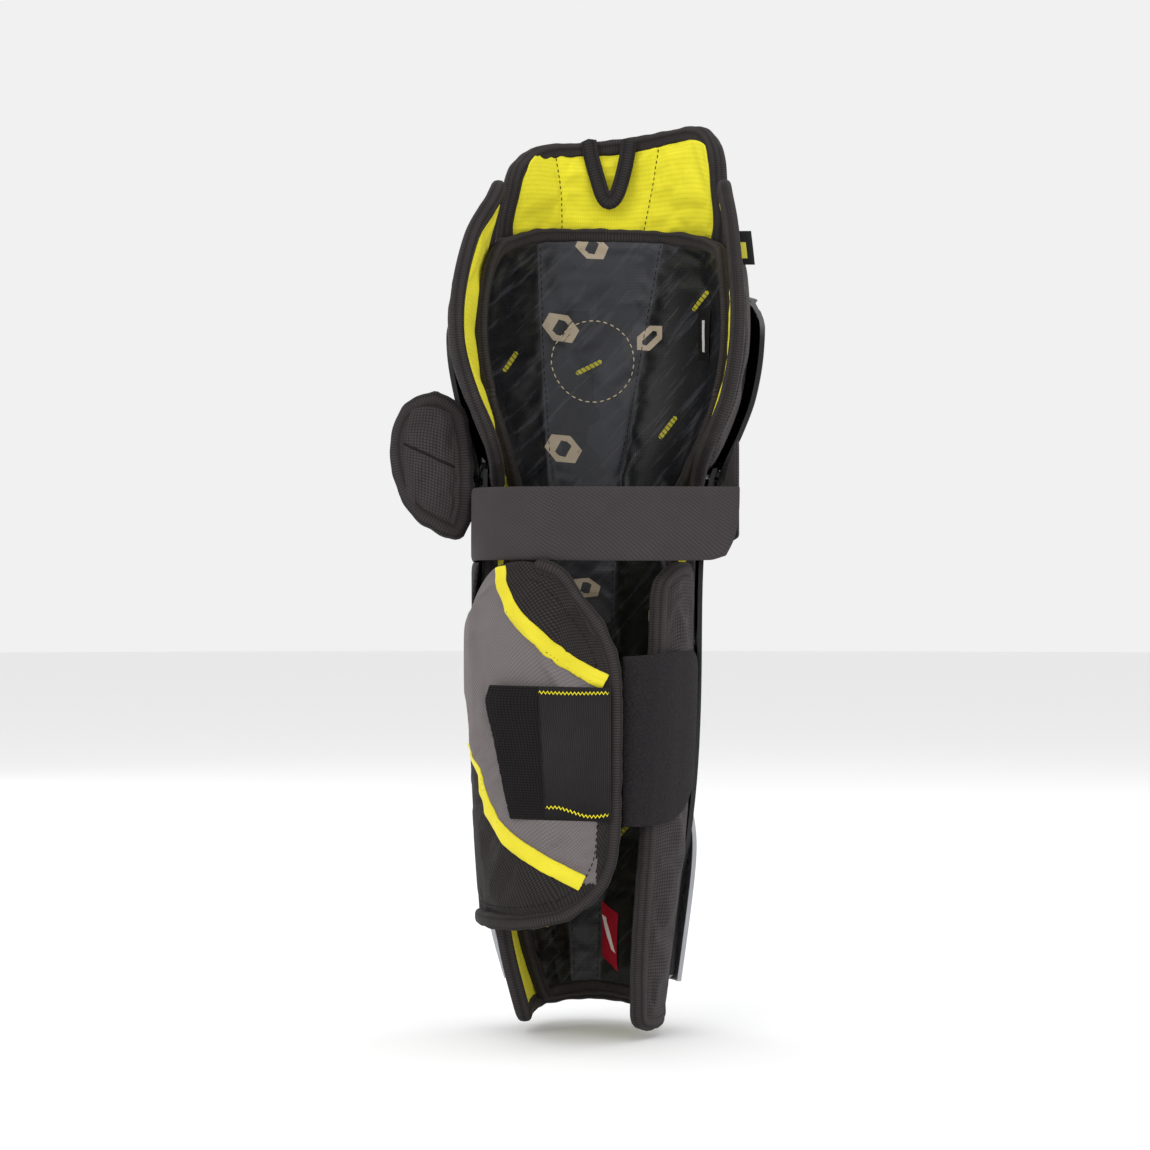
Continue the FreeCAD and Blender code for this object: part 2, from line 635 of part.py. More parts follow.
# ---------------------------------------------------------------- thigh guard
THIGH_FOOT_Z = 445.5
THIGH_LEFT = curve((0, -60), (0.5, -66), (1, -60))
THIGH_RIGHT = curve((0, 60), (0.5, 68), (1, 62))
THIGH_HEAD = curve((0, 500), (0.08, 507), (0.25, 512), (0.6, 518), (0.8, 519.5), (0.92, 515), (1, 504))
THIGH = (8.6, 16.4)
HINGE_Y = 73.5


def thigh_panel(layer, margin=0.0):
    low = lambda q: THIGH_LEFT(q) + margin
    high = lambda q: THIGH_RIGHT(q) - margin
    foot = lambda p: THIGH_FOOT_Z + margin
    head = lambda p: THIGH_HEAD(p) - margin
    return panel(wall_plan, low, high, foot, head, layer[0], layer[1], 14, 20)


def make_thigh_pad():
    return thigh_panel((THIGH[0], 13.0))


def make_thigh_plate():
    return thigh_panel((13.3, 14.9), 9.0)


def make_thigh_cover():
    return thigh_panel((15.2, THIGH[1]))


def make_thigh_binding():
    left = side_tape(wall_plan, THIGH_LEFT, -1, THIGH_FOOT_Z, 500, THIGH)
    right = side_tape(wall_plan, THIGH_RIGHT, 1, THIGH_FOOT_Z, 504, THIGH)
    head = end_tape(wall_plan, -60, 62, THIGH_HEAD, 1, THIGH)
    return Part.makeCompound([left, right, head])


LOOP_X = 4.5
LOOP_TOP_Z = 508.0
LOOP_FOOT_Z = 476.0


def make_pull_loop():
    """Webbing loop: two legs that meet at the foot, with a finger gap between them."""
    front = smooth(PAD_FRONT_Y, LOOP_TOP_Z) - PAD[1] + THIGH[0]
    outer = [(-14, LOOP_TOP_Z), (-11, 492), (-6.5, 480), (-3, LOOP_FOOT_Z), (4.5, LOOP_FOOT_Z), (9, 484),
             (12, 496), (13.5, LOOP_TOP_Z)]
    inner = [(4.5, LOOP_TOP_Z), (3.5, 496), (1.0, 485), (-1.0, 485), (-3.5, 496), (-5.0, LOOP_TOP_Z)]
    corners = [V(LOOP_X + x, front - 5.0, z) for x, z in outer + inner]
    return Part.Face(Part.makePolygon(corners + corners[:1])).extrude(V(0, 1.6, 0))


# ---------------------------------------------------------------- side flap
SIDE_FOOT = curve((0, 281), (0.2, 285), (0.5, 298), (0.8, 314), (1, 329))
SIDE_HEAD = curve((0, 344), (0.2, 357), (0.5, 361), (0.8, 355), (1, 341))
SIDE_LAYER = (-4.0, 3.0)


def make_side_flap():
    return panel(side_flap_plan, lambda q: 0.06, lambda q: 0.9, SIDE_FOOT, SIDE_HEAD, SIDE_LAYER[0],
                 SIDE_LAYER[1], 14, 8)


def make_side_flap_binding():
    foot = end_tape(side_flap_plan, 0.06, 0.9, lambda p: SIDE_FOOT(p) - TAPE_EASE, -1, SIDE_LAYER)
    head = end_tape(side_flap_plan, 0.06, 0.9, lambda p: SIDE_HEAD(p) + TAPE_EASE, 1, SIDE_LAYER)
    tip = panel(side_flap_plan, lambda q: 0.92, lambda q: 1.0, curve((0, 314), (1, 322)),
                curve((0, 356), (1, 348)),
                SIDE_LAYER[0] - TAPE_LIP, SIDE_LAYER[1] + TAPE_LIP, 3, 6)
    return Part.makeCompound([foot, head, tip])


def make_side_flap_hook():
    return panel(side_flap_plan, lambda q: 0.22, lambda q: 0.7, curve((0, 312), (1, 322)),
                 curve((0, 350), (1, 348)),
                 SIDE_LAYER[1] + 0.3, SIDE_LAYER[1] + 1.4, 5, 5)


# ---------------------------------------------------------------- all parts
PARTS = {
    "shin_shell": make_shin_shell,
    "front_plate": make_front_plate,
    "plate_rivets": make_plate_rivets,
    "shin_pad": make_shin_pad,
    "shin_binding": make_shin_binding,
    "shin_liner": make_shin_liner,
    "shin_liner_binding": make_shin_liner_binding,
    "shin_liner_patches": make_liner_patches,
    "liner_label": make_liner_label,
    "inner_wing_pad": make_inner_wing,
    "inner_wing_plate": lambda: wing_plate(0.0),
    "inner_wing_binding": make_inner_wing_binding,
    "loop_flap": make_loop_flap,
    "calf_wrap_pad": make_wrap_pad,
    "calf_wrap_plate": make_wrap_plate,
    "calf_wrap_cover": make_wrap_cover,
    "calf_wrap_binding": make_wrap_binding,
    "calf_wrap_root": make_wrap_root,
    "calf_strap": make_calf_strap,
    "calf_strap_hook": make_calf_strap_hook,
    "upper_strap_root": make_strap_root,
    "upper_strap": make_upper_strap,
    "upper_strap_hook": make_strap_hook,
    "strap_anchor": make_strap_anchor,
    "knee_cap": make_knee_cap,
    "knee_cap_foam": make_cap_foam,
    "knee_pad": make_knee_pad,
    "knee_wing_plates": make_knee_wing_plates,
    "knee_binding": make_knee_binding,
    "knee_liner": make_knee_liner,
    "knee_liner_binding": make_knee_liner_binding,
    "knee_liner_patches": make_knee_patches,
    "pivot_rivets": make_pivot_rivets,
    "side_label": make_side_label,
    "thigh_pad": make_thigh_pad,
    "thigh_plate": make_thigh_plate,
    "thigh_cover": make_thigh_cover,
    "thigh_binding": make_thigh_binding,
    "pull_loop": make_pull_loop,
    "side_flap_pad": make_side_flap,
    "side_flap_binding": make_side_flap_binding,
    "side_flap_hook": make_side_flap_hook,
}


def main():
    os.makedirs("parts", exist_ok=True)
    for name, make in PARTS.items():
        shape = make()
        solids = shape.Solids
        good = shape.isValid() and all(s.isClosed() and s.Volume > 0 for s in solids)
        print(f"{name}: {len(solids)} solid(s), {shape.Volume / 1000:.2f} cm3, valid {good}")
        shape.exportStep(f"parts/{name}.step")


main()
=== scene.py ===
import math

import bpy
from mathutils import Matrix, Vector, noise
from mathutils.bvhtree import BVHTree


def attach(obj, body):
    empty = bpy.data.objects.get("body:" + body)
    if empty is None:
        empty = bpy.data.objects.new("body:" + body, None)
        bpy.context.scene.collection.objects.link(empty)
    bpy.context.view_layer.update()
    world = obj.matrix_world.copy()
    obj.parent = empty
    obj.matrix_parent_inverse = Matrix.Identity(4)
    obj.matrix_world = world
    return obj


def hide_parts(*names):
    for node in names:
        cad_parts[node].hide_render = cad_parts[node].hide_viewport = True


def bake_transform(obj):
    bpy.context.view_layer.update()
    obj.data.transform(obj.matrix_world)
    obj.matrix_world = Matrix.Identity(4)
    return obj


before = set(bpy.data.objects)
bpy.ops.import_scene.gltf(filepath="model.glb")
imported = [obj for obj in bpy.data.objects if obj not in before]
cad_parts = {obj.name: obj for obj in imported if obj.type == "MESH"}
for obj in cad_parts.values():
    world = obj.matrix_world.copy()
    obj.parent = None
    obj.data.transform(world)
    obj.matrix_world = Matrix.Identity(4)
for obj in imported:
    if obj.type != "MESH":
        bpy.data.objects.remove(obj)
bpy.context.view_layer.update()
mm = 0.001
print("frame loaded:", len(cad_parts), "nodes")


# curves, in millimetres until a piece is placed

def smooth(rows, x):
    # value at x on a smooth line through (x, value) rows
    if x <= rows[0][0]:
        return float(rows[0][1])
    if x >= rows[-1][0]:
        return float(rows[-1][1])
    i = max(k for k in range(len(rows) - 1) if rows[k][0] <= x)
    (x0, y0), (x1, y1) = rows[i], rows[i + 1]
    before, after = rows[max(i - 1, 0)], rows[min(i + 2, len(rows) - 1)]
    span = x1 - x0
    m0 = (y1 - before[1]) / (x1 - before[0]) * span
    m1 = (after[1] - y0) / (after[0] - x0) * span
    s = (x - x0) / span
    return (y0 * (2 * s ** 3 - 3 * s ** 2 + 1) + m0 * (s ** 3 - 2 * s ** 2 + s)
            + y1 * (3 * s ** 2 - 2 * s ** 3) + m1 * (s ** 3 - s ** 2))


def along(points, s):
    # point a fraction s of the way along a smooth line through flat points
    steps = [0.0]
    for a, b in zip(points, points[1:]):
        steps.append(steps[-1] + math.hypot(b[0] - a[0], b[1] - a[1]))
    d = s * steps[-1]
    return (smooth(list(zip(steps, [p[0] for p in points])), d),
            smooth(list(zip(steps, [p[1] for p in points])), d))


def ramp(x, low, high):
    s = min(1.0, max(0.0, (x - low) / (high - low)))
    return s * s * (3 - 2 * s)


def patch(sides):
    # fills a four-sided outline: bottom and top run left to right, left and right run upwards
    def spot(p, q):
        bottom, top = along(sides["bottom"], p), along(sides["top"], p)
        left, right = along(sides["left"], q), along(sides["right"], q)
        corners = [sides["bottom"][0], sides["bottom"][-1], sides["top"][0], sides["top"][-1]]
        flat = []
        for k in (0, 1):
            ruled = (1 - q) * bottom[k] + q * top[k] + (1 - p) * left[k] + p * right[k]
            plain = ((1 - p) * (1 - q) * corners[0][k] + p * (1 - q) * corners[1][k]
                     + (1 - p) * q * corners[2][k] + p * q * corners[3][k])
            flat.append(ruled - plain)
        return flat
    return spot


def rim(sides, count):
    # the outline of a patch as one closed run of flat points
    runs = [(sides["bottom"], 1), (sides["right"], 1), (sides["top"], -1), (sides["left"], -1)]
    lengths = [sum(math.dist(a, b) for a, b in zip(r, r[1:])) for r, way in runs]
    points = []
    for (run, way), length in zip(runs, lengths):
        n = max(4, round(count * length / sum(lengths)))
        for i in range(n):
            s = i / n
            points.append(along(run, s if way > 0 else 1 - s))
    return points


# the shapes that the padding follows

channel = dict(
    halfWidth=[(0, 40), (50, 49.5), (100, 56), (150, 59.5), (200, 61), (262, 61), (300, 60.8),
               (320, 63), (340, 70), (360, 76.5), (388, 81), (416, 81), (456, 75), (485, 68), (530, 66)],
    centreX=[(0, -3), (60, -6.5), (190, -6), (262, -5), (300, -1.5), (335, 3), (360, 4), (416, 4), (456, 6),
             (485, 8), (530, 9)],
    frontY=[(0, 45), (100, 54), (190, 58), (262, 59), (300, 59), (335, 62), (388, 68), (456, 70), (530, 70)],
    outerTuck=[(0, 0.002), (100, 0.003), (190, 0.004), (262, 0.004), (360, 0.001), (530, 0.001)],
    innerTuck=[(0, 0.009), (262, 0.009), (318, 0.004), (360, 0.001), (530, 0.001)],
    squareness=0.91,
    padDepth=15.6,
)


def wall(u, z):
    # inner face of the channel: |u| to 90 is degrees from the front, past 90 it is millimetres rearwards
    half = smooth(channel["halfWidth"], z) - channel["padDepth"]
    depth = smooth(channel["frontY"], z) - channel["padDepth"]
    centre = smooth(channel["centreX"], z)
    side = 1 if u >= 0 else -1
    if abs(u) <= 90:
        a = math.radians(abs(u))
        return (centre + side * half * math.sin(a) ** channel["squareness"],
                depth * max(math.cos(a), 0) ** channel["squareness"])
    rear = abs(u) - 90
    tuck = smooth(channel["innerTuck" if side > 0 else "outerTuck"], z)
    return centre + side * (half - tuck * rear * rear), -rear


backBand = dict(
    leftX=[(60, -61.8), (130, -66.2), (190, -68.2), (262, -68.6), (320, -68.8)],
    backY=[(60, -58), (120, -62), (190, -63), (262, -61), (320, -61)],
    startY=-8.0,
    cornerX=-20.0,
    squareness=0.77,
    ease=0.001,
)


def back(w, z):
    # band round the back: below 0 the outer side, 0 to 90 the rear corner, then millimetres across
    left, rear = smooth(backBand["leftX"], z), smooth(backBand["backY"], z)
    if w < 0:
        return left, backBand["startY"] - w
    if w <= 90:
        a = math.radians(w)
        power = backBand["squareness"]
        return (backBand["cornerX"] + (left - backBand["cornerX"]) * max(math.cos(a), 0) ** power,
                backBand["startY"] + (rear - backBand["startY"]) * math.sin(a) ** power)
    run = w - 90
    return backBand["cornerX"] + run, rear + backBand["ease"] * run * run


def loopBand(s, z):
    # along the inner wing's outside and round its edge, then across behind the calf
    turnAt, depth = 0.7, channel["padDepth"]
    if s <= turnAt:
        foot = place(wall, 97 + 36 * s / turnAt, z, depth + 1.2 * ramp(s, 0.35, 0.6))
        return foot.x, foot.y
    turn, ahead = place(wall, 133, z, depth + 1.2), place(wall, 132, z, depth + 1.2)
    k = (s - turnAt) / (1 - turnAt)
    bend = turn + (turn - ahead) * 6
    end = Vector((16.5, -57.5, 0))
    point = turn * (1 - k) ** 2 + bend * (2 * k * (1 - k)) + end * k ** 2
    return point.x, point.y


def anchorBand(s, z):
    return (smooth([(0, 66.8), (0.35, 71.5), (0.7, 77), (1, 81)], s),
            smooth([(0, 0), (0.35, -17), (0.7, -35), (1, -45)], s))


sideTipX = -119


def sideStart(z):
    return -73.4 - 5.6 * ramp(z, 318, 352)


def sideShare(x, z):
    # the side band's value at x
    start = sideStart(z)
    return (x - start) / (sideTipX - start)


def sideBand(s, z):
    # s runs from the knee's outer side out to the flap's tip
    start = sideStart(z)
    return start + (sideTipX - start) * s, -13 + 9 * s - 5 * math.sin(math.pi * s)


bands = {wall: (1, 0.25), back: (-1, 0.25), loopBand: (1, 0.01), anchorBand: (1, 0.01), sideBand: (-1, 0.01)}


def place(band, a, z, t):
    # point a distance t outside a band
    side, step = bands[band]
    x0, y0 = band(a - step, z)
    x1, y1 = band(a + step, z)
    x, y = band(a, z)
    length = math.hypot(x1 - x0, y1 - y0)
    return Vector((x - side * t * (y1 - y0) / length, y + side * t * (x1 - x0) / length, z))


def outward(band, a, z):
    return (place(band, a, z, 1) - place(band, a, z, 0)).normalized()


def bandValue(band, x, z, t, low, high):
    # the band value between low and high whose point, a distance t out, is at x
    for k in range(26):
        middle = (low + high) / 2
        if place(band, middle, z, t).x < x:
            low = middle
        else:
            high = middle
    return (low + high) / 2


def angleAt(x, z):
    return bandValue(wall, x, z, 0.0, -88, 88)


# materials

def toLinear(colour):
    parts = [int(colour[i:i + 2], 16) / 255 for i in (1, 3, 5)]
    return tuple(c / 12.92 if c <= 0.04045 else ((c + 0.055) / 1.055) ** 2.4 for c in parts) + (1.0,)


def addNode(tree, kind, inputs=None, **settings):
    node = tree.nodes.new("ShaderNode" + kind)
    for name, value in settings.items():
        setattr(node, name, value)
    for name, value in (inputs or {}).items():
        if isinstance(value, bpy.types.NodeSocket):
            tree.links.new(value, node.inputs[name])
        else:
            node.inputs[name].default_value = value
    return node


def startMaterial(name, roughness, sheen=0.0, sheenColour="#b8b4b4", **shader):
    material = bpy.data.materials.new(name)
    material.use_nodes = True
    tree = material.node_tree
    surface = tree.nodes["Principled BSDF"]
    surface.inputs["Roughness"].default_value = roughness
    surface.inputs["Sheen Weight"].default_value = sheen
    surface.inputs["Sheen Roughness"].default_value = 0.5
    surface.inputs["Sheen Tint"].default_value = toLinear(sheenColour)
    for key, value in shader.items():
        surface.inputs[key.replace("_", " ")].default_value = value
    return material, tree, surface


def finishMaterial(tree, surface, colour, height=None, depth=0.3):
    tree.links.new(colour, surface.inputs["Base Color"])
    if height is not None:
        bump = addNode(tree, "Bump", {"Height": height, "Distance": depth * mm, "Strength": 1.0})
        tree.links.new(bump.outputs["Normal"], surface.inputs["Normal"])


def mixColours(tree, factor, first, second):
    # first and second are hex colours or colour sockets
    sockets = {"Factor": factor}
    mix = addNode(tree, "Mix", sockets, data_type="RGBA")
    for index, value in ((6, first), (7, second)):
        if isinstance(value, str):
            mix.inputs[index].default_value = toLinear(value)
        else:
            tree.links.new(value, mix.inputs[index])
    return mix.outputs[2]


def waveOf(tree, value, period, power=1.0):
    # 0 to 1 ribs, one each period, along a value in millimetres
    turn = addNode(tree, "Math", {0: value, 1: math.pi / period}, operation="MULTIPLY")
    sine = addNode(tree, "Math", {0: turn.outputs[0]}, operation="SINE")
    size = addNode(tree, "Math", {0: sine.outputs[0]}, operation="ABSOLUTE")
    return addNode(tree, "Math", {0: size.outputs[0], 1: power}, operation="POWER").outputs[0]


def joined(tree, operation, first, second):
    return addNode(tree, "Math", {0: first, 1: second}, operation=operation).outputs[0]


def surfaceSpot(tree, turn=0.0):
    # the piece's own map, which is in millimetres, as x and y
    uv = addNode(tree, "UVMap")
    spun = addNode(tree, "Mapping", {"Vector": uv.outputs["UV"], "Rotation": (0, 0, math.radians(turn))})
    parts = addNode(tree, "SeparateXYZ", {"Vector": spun.outputs["Vector"]})
    return spun.outputs["Vector"], parts.outputs["X"], parts.outputs["Y"]


def objectNoise(tree, size, detail=2.0):
    # soft noise with lumps of a size in millimetres
    spot = addNode(tree, "TexCoord").outputs["Object"]
    return addNode(tree, "TexNoise", {"Vector": spot, "Scale": 1 / (size * mm), "Detail": detail}).outputs["Fac"]


def objectCells(tree, size, **settings):
    # distance to the middle of the nearest of many cells, a size in millimetres apart
    spot = addNode(tree, "TexCoord")
    cells = addNode(tree, "TexVoronoi", {"Vector": spot.outputs["Object"], "Scale": 1 / (size * mm)}, **settings)
    return cells.outputs["Distance"]


def blotch(tree, size, low, high):
    # large soft patches, from low to high
    limits = {"From Min": 0.3, "From Max": 0.7, "To Min": low, "To Max": high}
    return addNode(tree, "MapRange", {"Value": objectNoise(tree, size), **limits}).outputs[0]


def knitMaterial(name, colour, paintedCrestLight, periodX, periodY, depth, roughness=0.85, sheen=0.25, turn=0.0, power=0.7):
    # yarn loops: two sets of ribs make the knit's rows and wales, and fuzz catches light at the edges.
    # periods are millimetres, drawn up to twice the yarn's own so that the ribs show
    material, tree, surface = startMaterial(name, roughness, sheen, Specular_IOR_Level=0.18)
    spot, x, y = surfaceSpot(tree, turn)
    weave = joined(tree, "MULTIPLY", waveOf(tree, x, periodX, power), waveOf(tree, y, periodY, power))
    fuzz = objectNoise(tree, 0.5, 3.0)
    height = joined(tree, "ADD", weave, joined(tree, "MULTIPLY", fuzz, 0.5))
    # painted shade and highlight: the rib hollows take the base colour and the rib crests the lighter second
    # colour, following the ribs' relief
    paintedRibShade = joined(tree, "MULTIPLY", weave, blotch(tree, 14, 0.75, 1.0))
    finishMaterial(tree, surface, mixColours(tree, paintedRibShade, colour, paintedCrestLight), height, depth)
    return material


def pipingMaterial():
    # soft polyurethane-coated strip, neon: smooth and slightly satin, a fine leather-like grain
    material, tree, surface = startMaterial("coatedPipingYellow", 0.55, 0.03, Specular_IOR_Level=0.3)
    grain = objectNoise(tree, 0.9, 3.0)
    colour = mixColours(tree, blotch(tree, 20, 0.0, 1.0), "#d3c520", "#e3d62b")
    finishMaterial(tree, surface, colour, grain, 0.06)
    return material


def pileMaterial():
    # brushed loop pile: deep soft fuzz in small tufts, matt, greyish where the fuzz stands up, a painted highlight
    material, tree, surface = startMaterial("brushedLoopPile", 0.97, 0.06, "#565254", Specular_IOR_Level=0.12)
    tufts = objectCells(tree, 2.2, feature="SMOOTH_F1")
    fuzz = objectNoise(tree, 0.7, 4.0)
    height = joined(tree, "SUBTRACT", joined(tree, "MULTIPLY", fuzz, 1.4), tufts)
    # painted highlight: the raised fuzz is coloured grey and the low fuzz near black
    finishMaterial(tree, surface, mixColours(tree, fuzz, "#060506", "#393638"), height, 0.7)
    return material


def hookMaterial():
    # moulded nylon hook tape: rows of tiny stiff stems, drawn 1.6 mm apart
    material, tree, surface = startMaterial("mouldedHookTape", 0.55)
    spot = addNode(tree, "TexCoord").outputs["Object"]
    rows = addNode(tree, "TexVoronoi", {"Vector": spot, "Scale": 1 / (1.6 * mm), "Randomness": 0.15})
    stems = rows.outputs["Distance"]
    # painted shade: the stems' raised tops are coloured lighter and the low gaps between them darker, following
    # the same relief as the bump
    finishMaterial(tree, surface, mixColours(tree, stems, "#2a2a2d", "#0b0b0d"), stems, -0.6)
    return material


def shellMaterial():
    # injection-moulded polyethylene, black: waxy gloss, faint orange peel and a few light scuffs
    material, tree, surface = startMaterial("mouldedPolyethyleneBlack", 0.26, Specular_IOR_Level=0.4,
                                            Coat_Weight=0.08, Coat_Roughness=0.12)
    peel = objectNoise(tree, 3.0, 2.0)
    spot = addNode(tree, "TexCoord")
    stretched = addNode(tree, "Mapping", {"Vector": spot.outputs["Object"], "Scale": (1.0, 1.0, 0.08)})
    scuffs = addNode(tree, "TexNoise", {"Vector": stretched.outputs["Vector"], "Scale": 900.0, "Detail": 4.0})
    worn = addNode(tree, "MapRange", {"Value": scuffs.outputs["Fac"], "From Min": 0.62, "From Max": 0.8})
    rough = addNode(tree, "MapRange", {"Value": scuffs.outputs["Fac"], "To Min": 0.2, "To Max": 0.36})
    tree.links.new(rough.outputs[0], surface.inputs["Roughness"])
    finishMaterial(tree, surface, mixColours(tree, worn.outputs[0], "#060708", "#17181b"), peel, 0.05)
    return material


def plateMaterial():
    # moulded polypropylene with silver pigment: pale, satin, with faint flow clouds
    material, tree, surface = startMaterial("mouldedSilverPolypropylene", 0.34, Metallic=0.25, Coat_Weight=0.2,
                                            Coat_Roughness=0.2)
    colour = mixColours(tree, blotch(tree, 25, 0.35, 0.65), "#a6a8ac", "#b9bbbf")
    finishMaterial(tree, surface, colour, objectNoise(tree, 1.2), 0.03)
    return material


def steelMaterial():
    # zinc-plated steel rivet: turned fine lines, bright and cool
    material, tree, surface = startMaterial("zincPlatedSteel", 0.3, Metallic=1.0)
    lines = objectNoise(tree, 0.6, 3.0)
    finishMaterial(tree, surface, mixColours(tree, lines, "#9c9ea2", "#c6c8cb"), lines, 0.02)
    return material


def sheetPlasticMaterial():
    # knife-cut polyethylene sheet: milky, matt, with faint drag marks
    material, tree, surface = startMaterial("cutPolyethyleneSheet", 0.6)
    colour = mixColours(tree, objectNoise(tree, 6.0), "#cfcfca", "#e6e6e1")
    finishMaterial(tree, surface, colour, objectNoise(tree, 2.0), 0.04)
    return material


def foamMaterial():
    # closed-cell EVA foam: dark grey, fine round pores
    material, tree, surface = startMaterial("closedCellFoam", 0.9)
    pores = objectCells(tree, 1.1)
    # painted shade: the pores' low middles are coloured darker than the raised rims between them, following the
    # same relief as the bump
    finishMaterial(tree, surface, mixColours(tree, pores, "#1d1d1f", "#38383b"), pores, 0.25)
    return material


def labelMaterial(name, ground, mark, centre, half, lean):
    # woven satin label: close fine ribs, one plain slanted bar woven in; sizes in millimetres
    material, tree, surface = startMaterial(name, 0.6, 0.02, Specular_IOR_Level=0.25)
    spot, x, y = surfaceSpot(tree)
    slant = joined(tree, "ADD", x, joined(tree, "MULTIPLY", y, lean))
    across = joined(tree, "ABSOLUTE", joined(tree, "SUBTRACT", slant, centre[0]), 0.0)
    upwards = joined(tree, "ABSOLUTE", joined(tree, "SUBTRACT", y, centre[1]), 0.0)
    narrow, low = joined(tree, "LESS_THAN", across, half[0]), joined(tree, "LESS_THAN", upwards, half[1])
    shown = joined(tree, "MULTIPLY", narrow, low)
    finishMaterial(tree, surface, mixColours(tree, shown, ground, mark), waveOf(tree, y, 0.9), 0.08)
    return material


linerPrint = dict(
    streak="#3f4047", darkSide="#08090c", side="#15161b", darkCentre="#202127", centre="#33343b",
    beige="#a89a86", yellow="#a8a02a",
    # beige marks: x and y on the liner in millimetres, turn in degrees, half width, half height
    marks=[(-6, 452, 66, 7.5, 9.0), (-24, 404, 60, 8.5, 10), (28, 398, 42, 10, 5.5), (-22, 333, 62, 8.5, 10),
           (-9, 252, 75, 6.0, 8.0), (34, 238, 40, 8.0, 4.5), (-34, 120, 60, 7, 8), (12, 150, 55, 8, 5)],
    # yellow dashes: x, y, turn, half length, half height
    dashes=[(-7.6, 381, 28, 8.5, 1.3), (39, 345, 52, 8.0, 1.4), (58, 418, 50, 7, 1.3), (-52, 383, 60, 7, 1.2),
            (-57, 330, 55, 7, 1.2), (-28, 62, 60, 7, 1.3), (14, 112, 48, 7, 1.3), (-44, 262, 58, 6, 1.2)],
)


def printedMask(tree, vector, x, y, turn, halfWide, halfHigh, clip=0.5):
    # 1 inside a slanted six-sided mark, and 0 outside
    settings = {"Location": (x, y, 0), "Rotation": (0, 0, math.radians(turn)), "Scale": (halfWide, halfHigh, 1)}
    moved = addNode(tree, "Mapping", {"Vector": vector, **settings}, vector_type="TEXTURE")
    parts = addNode(tree, "SeparateXYZ", {"Vector": moved.outputs["Vector"]})
    across = joined(tree, "ABSOLUTE", parts.outputs["X"], 0.0)
    up = joined(tree, "ABSOLUTE", parts.outputs["Y"], 0.0)
    corner = joined(tree, "ADD", across, joined(tree, "MULTIPLY", up, clip))
    inside = joined(tree, "LESS_THAN", corner, 1.0)
    return joined(tree, "MULTIPLY", inside, joined(tree, "LESS_THAN", up, 1.0))


def linerMaterial():
    # printed polyester satin: smooth, a soft gleam, slanting grey streaks and scattered print, and a paler
    # middle panel between the two seams
    material, tree, surface = startMaterial("printedSatin", 0.48, 0.03, "#7c8294", Specular_IOR_Level=0.35)
    spot, x, y = surfaceSpot(tree)
    panel = addNode(tree, "Attribute", attribute_name="panel")
    inMiddle = joined(tree, "GREATER_THAN", panel.outputs["Fac"], 0.0)
    spun = addNode(tree, "Mapping", {"Vector": spot, "Rotation": (0, 0, math.radians(-48))})
    slanted = addNode(tree, "Mapping", {"Vector": spun.outputs["Vector"], "Scale": (0.022, 0.24, 1.0)})
    streaks = addNode(tree, "TexNoise", {"Vector": slanted.outputs["Vector"], "Scale": 1.0, "Detail": 5.0,
                                         "Roughness": 0.7})
    streak = addNode(tree, "MapRange", {"Value": streaks.outputs["Fac"], "From Min": 0.54, "From Max": 0.62})
    cells = addNode(tree, "TexVoronoi", {"Vector": spot, "Scale": 0.045}, distance="CHEBYCHEV")
    sides = mixColours(tree, cells.outputs["Color"], linerPrint["darkSide"], linerPrint["side"])
    middle = mixColours(tree, cells.outputs["Color"], linerPrint["darkCentre"], linerPrint["centre"])
    plain = mixColours(tree, inMiddle, sides, middle)
    colour = mixColours(tree, joined(tree, "MULTIPLY", streak.outputs[0], 0.55), plain, linerPrint["streak"])
    for mx, my, turn, wide, high in linerPrint["marks"]:
        whole = printedMask(tree, spot, mx, my, turn, wide, high)
        gap = printedMask(tree, spot, mx, my, turn, wide * 0.55, high * 0.34, 0.2)
        worn = joined(tree, "LESS_THAN", 0.36, streaks.outputs["Fac"])
        shown = joined(tree, "MULTIPLY", joined(tree, "SUBTRACT", whole, gap), worn)
        colour = mixColours(tree, shown, colour, linerPrint["beige"])
    for mx, my, turn, wide, high in linerPrint["dashes"]:
        bars = waveOf(tree, joined(tree, "ADD", x, y), 3.6)
        shown = joined(tree, "MULTIPLY", printedMask(tree, spot, mx, my, turn, wide, high, 0.1),
                       joined(tree, "GREATER_THAN", bars, 0.3))
        colour = mixColours(tree, shown, colour, linerPrint["yellow"])
    weave = joined(tree, "MULTIPLY", waveOf(tree, x, 1.2), waveOf(tree, y, 1.8))
    finishMaterial(tree, surface, colour, weave, 0.07)
    return material


